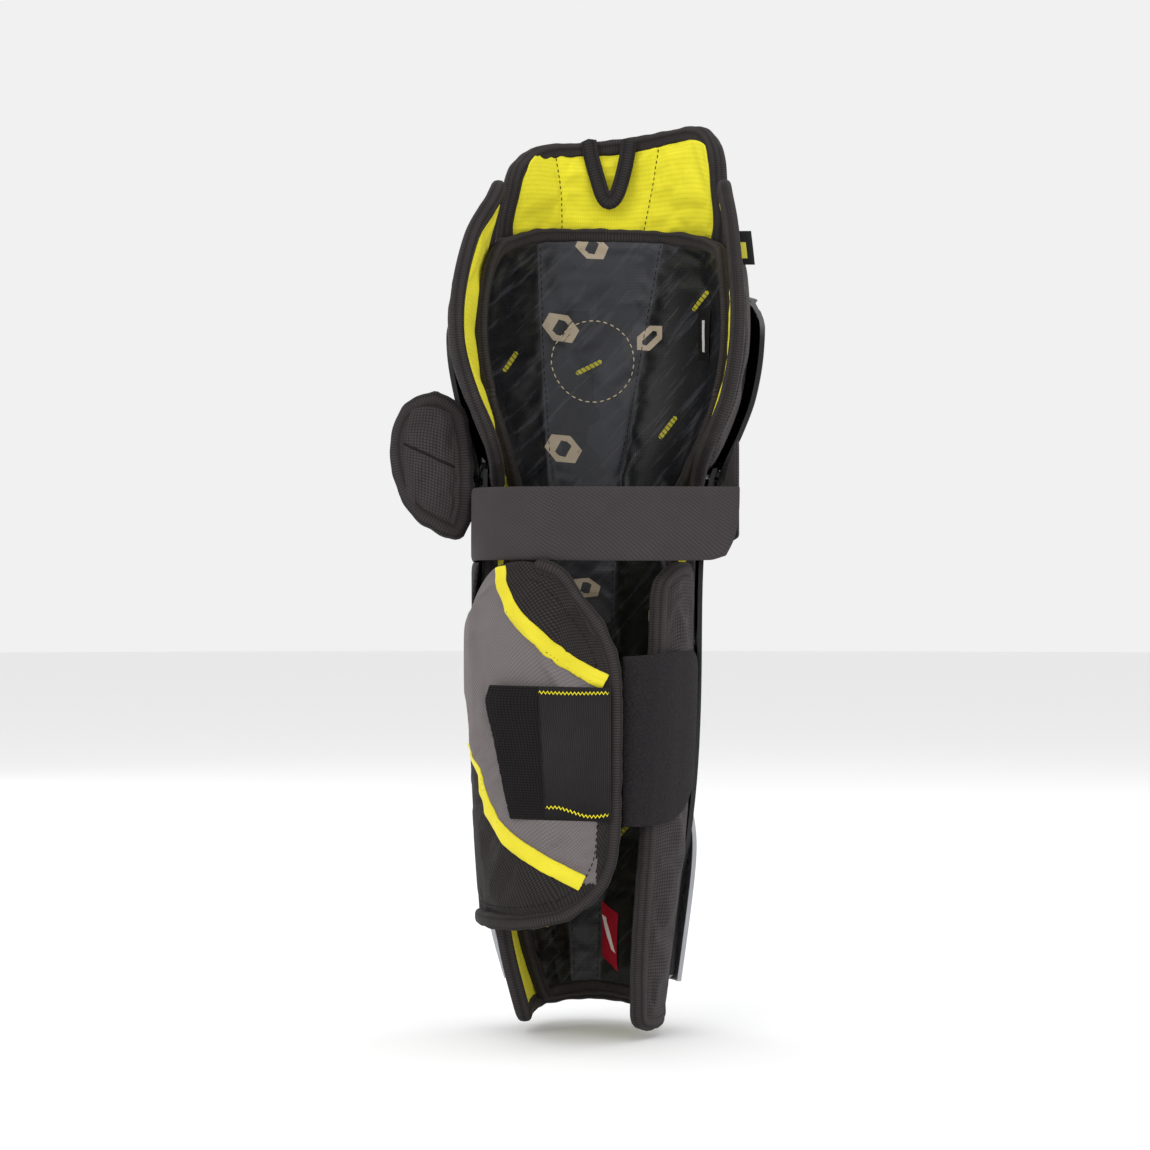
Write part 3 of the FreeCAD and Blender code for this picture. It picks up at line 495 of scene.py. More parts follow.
materials = dict(
    # brushed nylon tricot, neon-dyed: matt and soft, with fine upright ribs and a pale bloom at its edges
    lining=knitMaterial("brushedNylonYellow", "#dcd228", "#efe63a", 1.3, 2.6, 0.1, 0.85, 0.08, power=0.4),
    # ribbed knit binding tape: close ribs across the tape, matt, a little lint
    binding=knitMaterial("ribKnitBinding", "#1e1b1b", "#3d3839", 1.4, 3.4, 0.2, 0.92, 0.05),
    # circular-knit polyester: charcoal, even rows of small loops
    charcoal=knitMaterial("circularKnitCharcoal", "#242122", "#443f40", 1.5, 1.9, 0.16, 0.92, 0.06),
    # jersey face of laminated neoprene: fine slanting yarns, closed and springy
    neoprene=knitMaterial("jerseyNeoprene", "#322e2f", "#464142", 1.3, 1.7, 0.07, 0.9, 0.05, turn=32),
    # looser end of the elastic, its threads open and a little ragged
    elasticLoose=knitMaterial("looseWovenElastic", "#0a090a", "#232021", 2.2, 1.5, 0.45, 0.95, 0.02),
    # woven elastic: covered rubber threads lie as close cords along the strap
    elastic=knitMaterial("wovenElastic", "#100f10", "#2d2a2b", 1.5, 90.0, 0.16, 0.88, 0.03, power=0.5),
    # flat woven polyester webbing: fine ribs across, slightly shiny yarn
    webbing=knitMaterial("flatWebbing", "#131112", "#343031", 1.6, 2.2, 0.15, 0.75, 0.03),
    # warp-knit polyester: black, fine slanting ribs and a closed face
    mesh=knitMaterial("warpKnitBlack", "#151313", "#3b3636", 1.5, 2.1, 0.2, 0.92, 0.05, turn=55, power=0.8),
    # polyester twill, grey: slanting ribs about 1.5 mm apart
    twill=knitMaterial("polyesterTwillGrey", "#5f595a", "#7a7374", 1.4, 1.9, 0.08, 0.9, 0.05, turn=-38),
    # thick spun thread, each with its twist
    threadBeige=knitMaterial("spunThreadBeige", "#b5a488", "#d8c9ae", 0.6, 0.9, 0.08, 0.8, 0.02),
    threadYellow=knitMaterial("spunThreadYellow", "#d9cd20", "#f6ec3a", 0.6, 0.9, 0.08, 0.8, 0.02),
    threadBlack=knitMaterial("spunThreadBlack", "#0b0a0a", "#232020", 0.6, 0.9, 0.08, 0.8, 0.02),
    piping=pipingMaterial(), pile=pileMaterial(), hook=hookMaterial(), shell=shellMaterial(),
    plate=plateMaterial(), steel=steelMaterial(), sheet=sheetPlasticMaterial(), foam=foamMaterial(),
    labelRed=labelMaterial("wovenLabelRed", "#a50f27", "#e9dfe0", (11.5, 20), (1.5, 9), 0.35),
    labelBlack=labelMaterial("wovenLabelBlack", "#121112", "#d8d24a", (4.2, 8), (1.4, 4.5), 0.0),
    labelPatch=labelMaterial("wovenLabelPatch", "#0c0b0c", "#c9c6c6", (4.2, 14), (0.9, 9), 0.0),
    liner=linerMaterial(),
)
print("materials made:", len(materials))


# making pieces

def gridPiece(name, columns, rows):
    # a flat grid whose corners are at 0 and 1, ready to be laid on a shape
    bpy.ops.object.select_all(action="DESELECT")
    bpy.ops.mesh.primitive_grid_add(x_subdivisions=columns, y_subdivisions=rows, size=1, location=(0.5, 0.5, 0))
    bpy.ops.object.transform_apply(location=True)
    piece = bpy.context.object
    piece.name = name
    piece.data.name = name
    return piece


def onlySelect(piece):
    bpy.ops.object.select_all(action="DESELECT")
    piece.select_set(True)
    bpy.context.view_layer.objects.active = piece


def applyModifier(piece, kind, **settings):
    onlySelect(piece)
    modifier = piece.modifiers.new(kind.title(), kind)
    for name, value in settings.items():
        setattr(modifier, name, value)
    bpy.ops.object.modifier_apply(modifier=modifier.name)


def scaleMap(piece, width, height):
    # the map runs 0 to 1 across the grid; it becomes millimetres
    for spot in piece.data.uv_layers.active.data:
        spot.uv = (spot.uv[0] * width, spot.uv[1] * height)


def smoothShade(piece, angle=60):
    onlySelect(piece)
    bpy.ops.object.shade_smooth_by_angle(angle=math.radians(angle))


def setMaterials(piece, names):
    for name in names:
        piece.data.materials.append(materials[name])


def turnOutwards(piece):
    onlySelect(piece)
    bpy.ops.object.mode_set(mode="EDIT")
    bpy.ops.mesh.select_all(action="SELECT")
    bpy.ops.mesh.normals_make_consistent(inside=False)
    bpy.ops.object.mode_set(mode="OBJECT")


def puffAt(d, width):
    # how far stuffing stands up, 0 to 1, at a distance d from a seam
    s = min(1.0, max(0.0, d / width))
    return math.sqrt(1 - (1 - s) ** 2)


def lineGap(points, x, y):
    # distance from a flat point to a run of straight lines
    best = 1e9
    for a, b in zip(points, points[1:]):
        ab = (b[0] - a[0], b[1] - a[1])
        k = ((x - a[0]) * ab[0] + (y - a[1]) * ab[1]) / (ab[0] ** 2 + ab[1] ** 2)
        k = min(1.0, max(0.0, k))
        best = min(best, math.hypot(x - a[0] - k * ab[0], y - a[1] - k * ab[1]))
    return best


simulated = []


def padPiece(name, spec):
    # a closed pad: a thickened grid, laid between two layers of a band and puffed from its seams
    piece = gridPiece(name, spec["columns"], spec["rows"])
    flat = [(v.co.x, v.co.y) for v in piece.data.vertices]
    setMaterials(piece, spec["materials"])
    applyModifier(piece, "SOLIDIFY", thickness=0.01, offset=-1, material_offset=1, material_offset_rim=0)
    band, spot, (inside, outside) = spec["band"], spec["spot"], spec["layers"]
    size, seams = spec["size"], spec.get("seams", [])
    seamSpace = spec.get("seamSpace", lambda a, z: (a, z))
    held = piece.vertex_groups.new(name="held")
    count = len(flat)
    for i, v in enumerate(piece.data.vertices):
        p, q = flat[i % count]
        a, z = spot(p, q)
        edge = min(p * size[0], (1 - p) * size[0], q * size[1], (1 - q) * size[1])
        edge = max(0.0, edge - spec.get("tape", 6.0))
        seam = min([edge] + [lineGap(line, *seamSpace(a, z)) for line in seams])
        lift = puffAt(seam, spec["puffWidth"])
        t = outside + lift * spec["puffOut"] if i < count else inside - lift * spec["puffIn"]
        if "shape" in spec:
            t += spec["shape"](a, z)
        v.co = place(band, a, z, t) * mm
        held.add([i], 1.0 if lift < 0.45 else 0.0, "REPLACE")
    scaleMap(piece, *size)
    turnOutwards(piece)
    if spec.get("simulate"):
        simulated.append((piece, [v.co.copy() for v in piece.data.vertices], spec["simulate"]))
    return piece


clothFeel = dict(pressure=2.6, frames=14, tension=12, bending=0.6, quality=5, mass=0.25, shrink=-0.035)


def runCloth():
    # air pressure swells the covers between their seams, which stay held, and draws small folds
    scene = bpy.context.scene
    for piece, start, cap in simulated:
        cloth = piece.modifiers.new("Cloth", "CLOTH")
        feel = cloth.settings
        feel.quality = clothFeel["quality"]
        feel.mass = clothFeel["mass"]
        feel.tension_stiffness = clothFeel["tension"]
        feel.compression_stiffness = clothFeel["tension"]
        feel.bending_stiffness = clothFeel["bending"]
        feel.use_pressure = True
        feel.uniform_pressure_force = clothFeel["pressure"]
        feel.vertex_group_mass = "held"
        feel.effector_weights.gravity = 0
        feel.shrink_min = clothFeel["shrink"]
        cloth.point_cache.frame_start = 1
        cloth.point_cache.frame_end = clothFeel["frames"]
    for f in range(1, clothFeel["frames"] + 1):
        scene.frame_set(f)
    for piece, start, cap in simulated:
        onlySelect(piece)
        bpy.ops.object.modifier_apply(modifier="Cloth")
        for v, home in zip(piece.data.vertices, start):
            move = v.co - home
            if move.length > cap * mm:
                v.co = home + move * (cap * mm / move.length)
    scene.frame_set(1)
    print("cloth settled on", len(simulated), "pads")


def ribbon(name, points, normals, halfWidth, halfDepth, closed, around=12, materialName="binding", ripple=0.0):
    # a soft tape swept along points: a rounded flat section, with its ends drawn in
    if closed:
        points, normals = points + points[:1], normals + normals[:1]
    n = len(points)
    piece = gridPiece(name, n - 1, around)
    run = [0.0]
    for a, b in zip(points, points[1:]):
        run.append(run[-1] + (b - a).length)
    for v in piece.data.vertices:
        i = round(v.co.x * (n - 1))
        turn = v.co.y * 2 * math.pi
        before = points[(i - 1) % (n - 1)] if closed else points[max(i - 1, 0)]
        after = points[(i + 1) % (n - 1)] if closed else points[min(i + 1, n - 1)]
        tangent = (after - before).normalized()
        normal = (normals[i] - tangent * normals[i].dot(tangent)).normalized()
        across = normal.cross(tangent)
        wave = 1 + ripple * noise.noise(Vector((run[i] * 0.13, across.x * 3, 2.0)))
        taper = 1.0
        if not closed:
            end = min(run[i], run[-1] - run[i])
            taper = 0.02 + 0.98 * puffAt(end, halfDepth)
        c, s = math.cos(turn), math.sin(turn)
        x = math.copysign(abs(c) ** 0.75, c) * halfWidth * wave * taper
        y = math.copysign(abs(s) ** 0.75, s) * halfDepth * taper
        v.co = (points[i] + across * x + normal * y) * mm
    scaleMap(piece, run[-1], 2.2 * (halfWidth + halfDepth))
    onlySelect(piece)
    bpy.ops.object.mode_set(mode="EDIT")
    bpy.ops.mesh.select_all(action="SELECT")
    bpy.ops.mesh.remove_doubles(threshold=0.00002)
    if not closed:
        bpy.ops.mesh.select_all(action="SELECT")
        bpy.ops.mesh.fill_holes(sides=0)
    bpy.ops.mesh.select_all(action="SELECT")
    bpy.ops.mesh.normals_make_consistent(inside=False)
    bpy.ops.object.mode_set(mode="OBJECT")
    setMaterials(piece, [materialName])
    smoothShade(piece, 80)
    return piece


def evenRun(points, spacing, closed):
    # the same line with evenly spaced points
    line = points + points[:1] if closed else points
    run = [0.0]
    for a, b in zip(line, line[1:]):
        run.append(run[-1] + (b - a).length)
    count = max(4, round(run[-1] / spacing))
    even, k = [], 0
    for i in range(count if closed else count + 1):
        d = min(run[-1], run[-1] * i / count)
        while k < len(run) - 2 and run[k + 1] < d:
            k += 1
        s = (d - run[k]) / max(run[k + 1] - run[k], 1e-9)
        even.append(line[k].lerp(line[k + 1], s))
    return even


def softened(points, times, closed):
    n = len(points)
    for turn in range(times):
        ends = range(n) if closed else range(1, n - 1)
        moved = list(points)
        for i in ends:
            moved[i] = (points[i - 1] + points[i] * 2 + points[(i + 1) % n]) / 4
        points = moved
    return points


def edgeBinding(name, band, flat, layers, closed, width=4.6, lip=1.3, inset=3.4, ripple=0.22, spacing=2.0,
                shape=None):
    # binding tape folded over a pad's edge; flat is the edge as (band value, height)
    t = (layers[0] + layers[1]) / 2
    shape = shape or (lambda a, z: 0.0)
    marks = [(Vector((a, z, 0))) for a, z in flat]
    marks = softened(evenRun(marks, spacing, closed), 6, closed)
    points = [place(band, m.x, m.y, t + shape(m.x, m.y)) for m in marks]
    normals = [outward(band, m.x, m.y) for m in marks]
    n = len(points)
    centre = sum(points, Vector()) / n
    drawn = []
    for i in range(n):
        before = points[(i - 1) % n] if closed else points[max(i - 1, 0)]
        after = points[(i + 1) % n] if closed else points[min(i + 1, n - 1)]
        across = normals[i].cross((after - before).normalized())
        if across.dot(centre - points[i]) < 0:
            across = -across
        drawn.append(points[i] + across * inset)
    return ribbon(name, drawn, normals, width, (layers[1] - layers[0]) / 2 + lip, closed, 14, "binding", ripple)


def apart(spots):
    # points and normals, from pairs of them
    return [spot[0] for spot in spots], [spot[1] for spot in spots]


def stitch(length, radius):
    # one stitch: a short thread with rounded ends
    bpy.ops.object.select_all(action="DESELECT")
    bpy.ops.mesh.primitive_uv_sphere_add(segments=6, ring_count=4, radius=1)
    piece = bpy.context.object
    for v in piece.data.vertices:
        v.co = Vector((v.co.z * length / 2, v.co.x * radius, v.co.y * radius)) * mm
    return piece


def stitchRun(name, points, normals, length, gap, radius, materialName):
    # copies of one stitch along a line on the surface
    pieces = []
    run = 0.0
    period = length + gap
    nextAt = gap
    for i in range(len(points) - 1):
        step = (points[i + 1] - points[i]).length
        while run + step >= nextAt:
            k = (nextAt - run) / max(step, 1e-9)
            at = points[i].lerp(points[i + 1], k)
            ahead = (points[i + 1] - points[i]).normalized()
            normal = normals[i]
            side = normal.cross(ahead).normalized()
            up = ahead.cross(side)
            one = stitch(length, radius)
            for v in one.data.vertices:
                v.co = ahead * v.co.x + side * v.co.y + up * v.co.z + at * mm
            pieces.append(one)
            nextAt += period
        run += step
    return joinAll(name, pieces, materialName)


def joinAll(name, pieces, materialName):
    bpy.ops.object.select_all(action="DESELECT")
    for piece in pieces:
        piece.select_set(True)
    bpy.context.view_layer.objects.active = pieces[0]
    bpy.ops.object.join()
    whole = bpy.context.object
    whole.name = name
    whole.data.materials.clear()
    setMaterials(whole, [materialName])
    smoothShade(whole, 80)
    return whole


def surfaceOf(piece):
    return BVHTree.FromObject(piece, bpy.context.evaluated_depsgraph_get())


def onSurface(tree, band, a, z, lift, fromOutside=False):
    # the point of a made surface nearest a band spot, lifted off it
    aim = outward(band, a, z)
    t0 = 40 if fromOutside else -30
    start = place(band, a, z, t0) * mm
    hit, normal, index, distance = tree.ray_cast(start, -aim if fromOutside else aim)
    if hit is None:
        hit, normal = place(band, a, z, 0) * mm, aim
    if fromOutside == (normal.dot(aim) < 0):
        normal = -normal
    return hit / mm + normal * lift, normal


def belongs(piece, bodyName, slotName, *replaced):
    # the body a piece moves with, the slot its finish comes from (not used) and the CAD nodes it stands for
    if bodyName:
        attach(piece, bodyName)
    if replaced:
        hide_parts(*replaced)


def finishPad(piece, fill, bodyName, slotName, *replaced):
    applyModifier(piece, "SUBSURF", levels=1, render_levels=1)
    piece.vertex_groups.clear()
    smoothShade(piece, 50)
    belongs(piece, bodyName, slotName, *replaced)


# thigh guard

thigh = dict(
    sides=dict(
        bottom=[(-58, 446), (-30, 446), (0, 446), (30, 446), (60, 446)],
        right=[(60, 446), (68, 464), (71, 484), (70, 500), (63, 511)],
        top=[(-52, 506), (-40, 511), (-20, 513.5), (10, 517), (38, 521), (52, 519), (63, 511)],
        left=[(-58, 446), (-65, 464), (-68, 482), (-65, 496), (-52, 506)]),
    seams=[[(-37, 512), (-31, 488), (-22, 446)], [(24, 522), (19, 488), (11, 446)]],
    layers=(9.4, 15.6), columns=64, rows=36, size=(150, 72), puffWidth=11, puffIn=2.4, puffOut=1.4, tape=8.0,
)
thigh["spot"] = patch(thigh["sides"])
thighPad = padPiece("thigh_guard", dict(thigh, band=wall, materials=["charcoal", "lining"], simulate=3.0))

# side flap

sideFlap = dict(
    # outline in x and height, before it is laid on the band
    sides=dict(
        bottom=[(-110.5, 305), (-103, 293), (-92, 285.5), (-83, 280.5), (-77, 280)],
        right=[(-77, 280), (-72.5, 292), (-71, 312), (-72.5, 335), (-76, 352)],
        top=[(-108.5, 355.5), (-101, 360), (-93, 362.5), (-84, 359.5), (-76, 352)],
        left=[(-110.5, 305), (-114.5, 318), (-116, 333), (-113.5, 346), (-108.5, 355.5)]),
    seams=[[(-109, 334.5), (-80, 320)], [(-80, 320), (-75.5, 350)]],
    layers=(-3.4, 2.4), columns=40, rows=60, size=(44, 84), puffWidth=7, puffIn=2.4, puffOut=2.0, tape=8.5,
)


def sideSpot(p, q):
    x, z = patch(sideFlap["sides"])(p, q)
    return sideShare(x, z), z


sideFlap["spot"] = sideSpot
sideFlap["seamSpace"] = lambda s, z: (sideBand(s, z)[0], z)
sidePad = padPiece("side_flap", dict(sideFlap, band=sideBand, materials=["charcoal", "charcoal"], simulate=3.0))

# calf wrap

calfWrap = dict(
    sides=dict(
        bottom=[(-8, 68), (20, 67), (50, 66.5), (75, 67.5), (92, 71), (104, 78), (114, 88)],
        right=[(114, 88), (119.5, 101), (121.5, 118), (122.6, 160), (122.6, 200), (120.5, 214), (116, 226)],
        top=[(-8, 232), (6, 238), (22, 247), (38, 256), (52, 263), (66, 266.5), (80, 266.5), (91, 261.5),
             (102, 246.5), (110, 236), (116, 226)],
        left=[(-8, 68), (-8, 130), (-8, 190), (-8, 232)]),
    layers=(1.0, 5.6), columns=96, rows=110, size=(165, 198), puffWidth=12, puffIn=1.2, puffOut=1.6,
    # the root is tucked in under the shin pad's edge, more so at the foot and the head
    shape=lambda w, z: (-(2.8 + 2.4 * (1 - ramp(z, 128, 168)) + 1.5 * ramp(z, 225, 262))
                        * (1 - ramp(w, 25, 75)) * ramp(w, -8, 4)),
    # the two yellow piping strips, as (x, height) down their middles
    stripes=[[(-52.5, 264), (-50.5, 253), (-43.5, 238), (-31.5, 226), (-17.5, 214.5), (-4, 206), (7.2, 200.5)],
             [(-67.5, 150), (-66, 141), (-62.2, 130.5), (-55, 121), (-46, 113), (-33, 104.5), (-18, 96.5),
              (-5.5, 90)]],
    stripeHalf=4.6,
)
calfWrap["spot"] = patch(calfWrap["sides"])


def backAt(x, z, t=7.0):
    return bandValue(back, x, z, t, 3, 200)


def wrapSpace(w, z):
    # flat space for the wrap's seams: millimetres along the band and height
    return (w if w > 90 else (w - 90) * 0.72 + 90, z)


stripeLines = [[(backAt(x, z), z) for x, z in stripe] for stripe in calfWrap["stripes"]]
stripeLines[1] = [(-6, 163), (2, 160)] + stripeLines[1]
wrapLines = [[wrapSpace(*along(line, k / 24)) for k in range(25)] for line in stripeLines]
calfWrap["seams"] = wrapLines
calfWrap["seamSpace"] = wrapSpace
wrapPad = padPiece("calf_wrap", dict(calfWrap, band=back, materials=["twill", "charcoal"], simulate=2.5))

# knee pad with its two wings

kneePad = dict(
    rear=[(0, 2), (0.05, 9), (0.1, 20), (0.18, 33), (0.3, 41), (0.46, 44), (0.62, 42), (0.79, 34), (0.9, 27),
          (1, 18)],
    head=[(0, 470), (0.04, 480), (0.09, 476), (0.125, 460), (0.15, 446), (0.175, 440), (0.5, 440),
          (0.825, 440), (0.85, 446), (0.875, 460), (0.91, 476), (0.96, 480), (1, 470)],
    foot=[(0, 308), (0.2, 304), (0.5, 301), (0.8, 304), (1, 308)],
    layers=(8.6, 13.2), columns=150, rows=56, size=(330, 165), puffWidth=14, puffIn=2.6, puffOut=1.2,
    # the outer wing flares outwards
    shape=lambda u, z: 5.2 * ramp(-u, 88, 126) * ramp(z, 330, 395) * (1 - ramp(z, 450, 478)),
)


def kneeSpot(p, q):
    reach = 90 + smooth(kneePad["rear"], q)
    foot, head = smooth(kneePad["foot"], p), smooth(kneePad["head"], p)
    return -reach + 2 * reach * p, foot + (head - foot) * q


kneePad["spot"] = kneeSpot
kneeBody = padPiece("knee_pad_cover", dict(kneePad, band=wall, materials=["charcoal", "lining"], simulate=2.5))

# shin pad and inner wing

shinPad = dict(
    sides=dict(
        bottom=[(-106, 8), (-80, 9), (-40, 13), (0, 14), (40, 12), (94, 8)],
        right=[(94, 8), (94, 80), (94, 180), (94, 294)],
        top=[(-115, 290), (-70, 294), (0, 295), (94, 294)],
        left=[(-106, 8), (-112, 35), (-118, 75), (-118.5, 180), (-115, 290)]),
    layers=(8.6, 15.0), columns=110, rows=90, size=(240, 286), puffWidth=14, puffIn=2.0, puffOut=0.5,
)
shinPad["spot"] = patch(shinPad["sides"])
shinBody = padPiece("shin_pad_cover", dict(shinPad, band=wall, materials=["charcoal", "lining"]))

innerWing = dict(
    sides=dict(
        bottom=[(91, 8), (100, 7), (110, 7), (122, 9)],
        right=[(122, 9), (127, 40), (130, 90), (130.5, 180), (129.5, 255)],
        top=[(91, 262), (105, 263), (118, 263), (129.5, 255)],
        left=[(91, 8), (91, 80), (91, 180), (91, 262)]),
    layers=(8.8, 14.9), columns=26, rows=100, size=(40, 256), puffWidth=11, puffIn=1.8, puffOut=1.2,
)
innerWing["spot"] = patch(innerWing["sides"])
wingBody = padPiece("inner_wing_cover",
                    dict(innerWing, band=wall, materials=["charcoal", "lining"], simulate=2.0))

# printed liner

liner = dict(
    # its outer edges, as (height, band value)
    edge=[(15, 62), (40, 73), (80, 80), (160, 80), (250, 76), (290, 68), (306, 67), (322, 84), (340, 96),
          (362, 103), (386, 106), (412, 104), (434, 95), (448, 80), (458, 62)],
    footZ=[(0, 16), (0.25, 17), (0.5, 18.5), (0.75, 17), (1, 16)],
    headZ=[(0, 450), (0.12, 458.5), (0.3, 460.5), (0.5, 460.5), (0.75, 458), (0.9, 453), (1, 445)],
    layers=(1.6, 5.6), columns=64, rows=180, size=(130, 440), puffWidth=13, puffIn=1.9, puffOut=0.3,
    # seams and the stitched ring, as (x, height)
    seams=[[(-16.4, 18), (-21, 120), (-26, 230), (-30, 310), (-33, 350), (-36, 403), (-37.5, 462)],
           [(-0.5, 18), (3, 120), (7.5, 230), (10.6, 310), (18.1, 350), (27, 403), (37.7, 462)]],
    ring=(-5.2, 384.4, 24.0),
)


def linerSpot(p, q):
    foot, head = smooth(liner["footZ"], p), smooth(liner["headZ"], p)
    z = foot + (head - foot) * q
    reach = smooth(liner["edge"], z)
    return -reach + 2 * reach * p, z


def linerSpace(u, z):
    # flat space for the liner's seams: x across the inner face, and height
    x = wall(u, z)[0]
    return (x if abs(u) <= 90 else x + math.copysign(abs(u) - 90, u), z)


liner["spot"] = linerSpot
liner["seamSpace"] = linerSpace
linerBody = padPiece("printed_liner", dict(liner, band=wall, materials=["liner", "liner"], simulate=2.0))

if simulated:
    runCloth()


# finishing the pads

def byPlace(piece, test, index):
    # gives faces a material slot by where they are
    for face in piece.data.polygons:
        if test(face):
            face.material_index = index


# thigh guard: binding, then the loop inside it
finishPad(thighPad, 0.7, "thigh", "lining_yellow", "thigh_pad", "thigh_cover")
thighRim = rim(thigh["sides"], 160)
thighEdge = edgeBinding("thigh_guard_binding", wall, thighRim, thigh["layers"], True,
                        width=5.1, lip=1.8, inset=4.1)
belongs(thighEdge, "thigh", "binding_black", "thigh_binding")
thighFace = surfaceOf(thighPad)
for i, seam in enumerate(thigh["seams"]):
    flat = [along(seam, 0.12 + 0.86 * k / 60) for k in range(61)]
    spots = [onSurface(thighFace, wall, u, z, 0.1) for u, z in flat]
    run = stitchRun(f"thigh_seam_stitches_{i}", *apart(spots), 2.2, 1.1, 0.32, "threadBlack")
    belongs(run, "thigh", "binding_black")
print("thigh guard done")


def webbingLoop():
    # one length of webbing folded into a loop, its two ends sewn under the top binding
    loop = dict(halfWidth=4.6, halfDepth=0.8,
                line=[(-8.2, 516), (-6.6, 506), (-2.8, 492), (0.8, 481.5), (4.2, 478.5), (8.2, 482.5), (12.0, 494),
                      (14.6, 506), (15.8, 516)])
    flat = [along(loop["line"], k / 60) for k in range(61)]
    points = [Vector((x, 56.5 + 0.035 * (z - 478), z)) for x, z in flat]
    normals = [Vector((0, -1, 0.1)).normalized() for k in flat]
    piece = ribbon("pull_loop_webbing", points, normals, loop["halfWidth"], loop["halfDepth"], False, 14,
                   "webbing")
    belongs(piece, "pull_loop", "webbing", "pull_loop")


webbingLoop()

# side flap
finishPad(sidePad, 0.75, "side_flap", "knit_charcoal", "side_flap_pad")
sideRim = [(sideShare(x, z), z) for x, z in rim(sideFlap["sides"], 120)]


def bandBinding(name, band, flat, layers, width, lip, inset):
    # like edgeBinding, for bands whose values aren't millimetres: the run is evened in space
    t = (layers[0] + layers[1]) / 2
    points = softened(evenRun([place(band, a, z, t) for a, z in flat], 2.0, True), 8, True)
    centre = sum(points, Vector()) / len(points)
    n = len(points)
    normals, drawn = [], []
    for i in range(n):
        normal = outward(band, flat[round(i * len(flat) / n) % len(flat)][0], points[i].z)
        across = normal.cross((points[(i + 1) % n] - points[i - 1]).normalized())
        across = across if across.dot(centre - points[i]) > 0 else -across
        normals.append(normal)
        drawn.append(points[i] + across * inset)
    return ribbon(name, drawn, normals, width, (layers[1] - layers[0]) / 2 + lip, True, 14, "binding", 0.2)


sideEdge = bandBinding("side_flap_edge", sideBand, sideRim, sideFlap["layers"], 6.2, 1.7, 4.6)
belongs(sideEdge, "side_flap", "binding_black", "side_flap_binding")
sideFace = surfaceOf(sidePad)
for i, seam in enumerate(sideFlap["seams"]):
    flat = [along(seam, k / 24) for k in range(25)]
    spots = [onSurface(sideFace, sideBand, sideShare(x, z), z, 0.0) for x, z in flat]
    line = ribbon(f"side_flap_seam_{i}", *apart(spots), 0.9, 0.5, False, 6, "threadBlack")
    belongs(line, "side_flap", "binding_black")
print("side flap done")

# knee pad: the wings' tape runs up the rear edge and over the tip
finishPad(kneeBody, 0.7, "knee", "lining_yellow", "knee_pad")
for side, name in ((-1, "knee_wing_tape_outer"), (1, "knee_wing_tape_inner")):
    edge = [kneeSpot(0 if side < 0 else 1, k / 60) for k in range(61)]
    over = [kneeSpot(k / 100 if side < 0 else 1 - k / 100, 1) for k in range(1, 17)]
    tape = edgeBinding(name, wall, edge + over, kneePad["layers"], False, width=5.4, lip=1.9, inset=1.4,
                       shape=kneePad["shape"])
    belongs(tape, "knee", "binding_black")
    if side < 0:
        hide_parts("knee_binding")


def edgeTab():
    # small folded label that stands out of the inner wing's edge
    tab = dict(u=107.5, half=0.8, t=(11.5, 21.5), z=(434, 453), size=(9, 19))
    piece = gridPiece("wing_edge_tab", 10, 14)
    flat = [(v.co.x, v.co.y) for v in piece.data.vertices]
    applyModifier(piece, "SOLIDIFY", thickness=0.01, offset=-1)
    for i, v in enumerate(piece.data.vertices):
        p, q = flat[i % len(flat)]
        side = 1 if i < len(flat) else -1
        t = tab["t"][0] + (tab["t"][1] - tab["t"][0]) * p
        z = tab["z"][0] + (tab["z"][1] - tab["z"][0]) * q
        edge = min((1 - p) * tab["size"][0], q * tab["size"][1], (1 - q) * tab["size"][1])
        u = tab["u"] + side * tab["half"] * (0.3 + 0.7 * puffAt(edge, 1.0)) + 0.6 * math.sin(q * 3.1)
        v.co = place(wall, u, z, t) * mm
    scaleMap(piece, *tab["size"])
    turnOutwards(piece)
    setMaterials(piece, ["labelBlack"])
    smoothShade(piece, 50)
    belongs(piece, "knee", "label_black", "side_label")


edgeTab()
print("knee pad done")

# shin pad
finishPad(shinBody, 0.7, "shin", "lining_yellow", "shin_pad")
shinEdge = [along(shinPad["sides"]["left"], 1 - k / 80) for k in range(81)]
shinFoot = [along(shinPad["sides"]["bottom"], k / 80) for k in range(1, 81)]
shinTape = edgeBinding("shin_pad_tape", wall, shinEdge + shinFoot, shinPad["layers"], False,
                       width=5.0, lip=1.2, inset=3.0)
belongs(shinTape, "shin", "binding_black", "shin_binding")

# inner wing and its tape
wingStart, wingEnd = place(wall, 93, 150, 12) * mm, place(wall, 101, 150, 12) * mm
finishPad(wingBody, 0.7, None, "knit_charcoal", "inner_wing_pad")
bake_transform(wingBody)
wingFoot = [along(innerWing["sides"]["bottom"], k / 20) for k in range(21)]
wingRear = [along(innerWing["sides"]["right"], k / 80) for k in range(1, 81)]
wingTop = [along(innerWing["sides"]["top"], 1 - k / 20) for k in range(1, 16)]
wingTape = edgeBinding("inner_wing_tape", wall, wingFoot + wingRear + wingTop, innerWing["layers"], False,
                       lip=1.2, inset=1.2)
belongs(wingTape, "inner_wing", "binding_black", "inner_wing_binding")
print("shin pad and inner wing done")


# printed liner: its print in two tones, its tape, ring and seams

def seamX(points, z):
    return smooth([(h, x) for x, h in points], z)


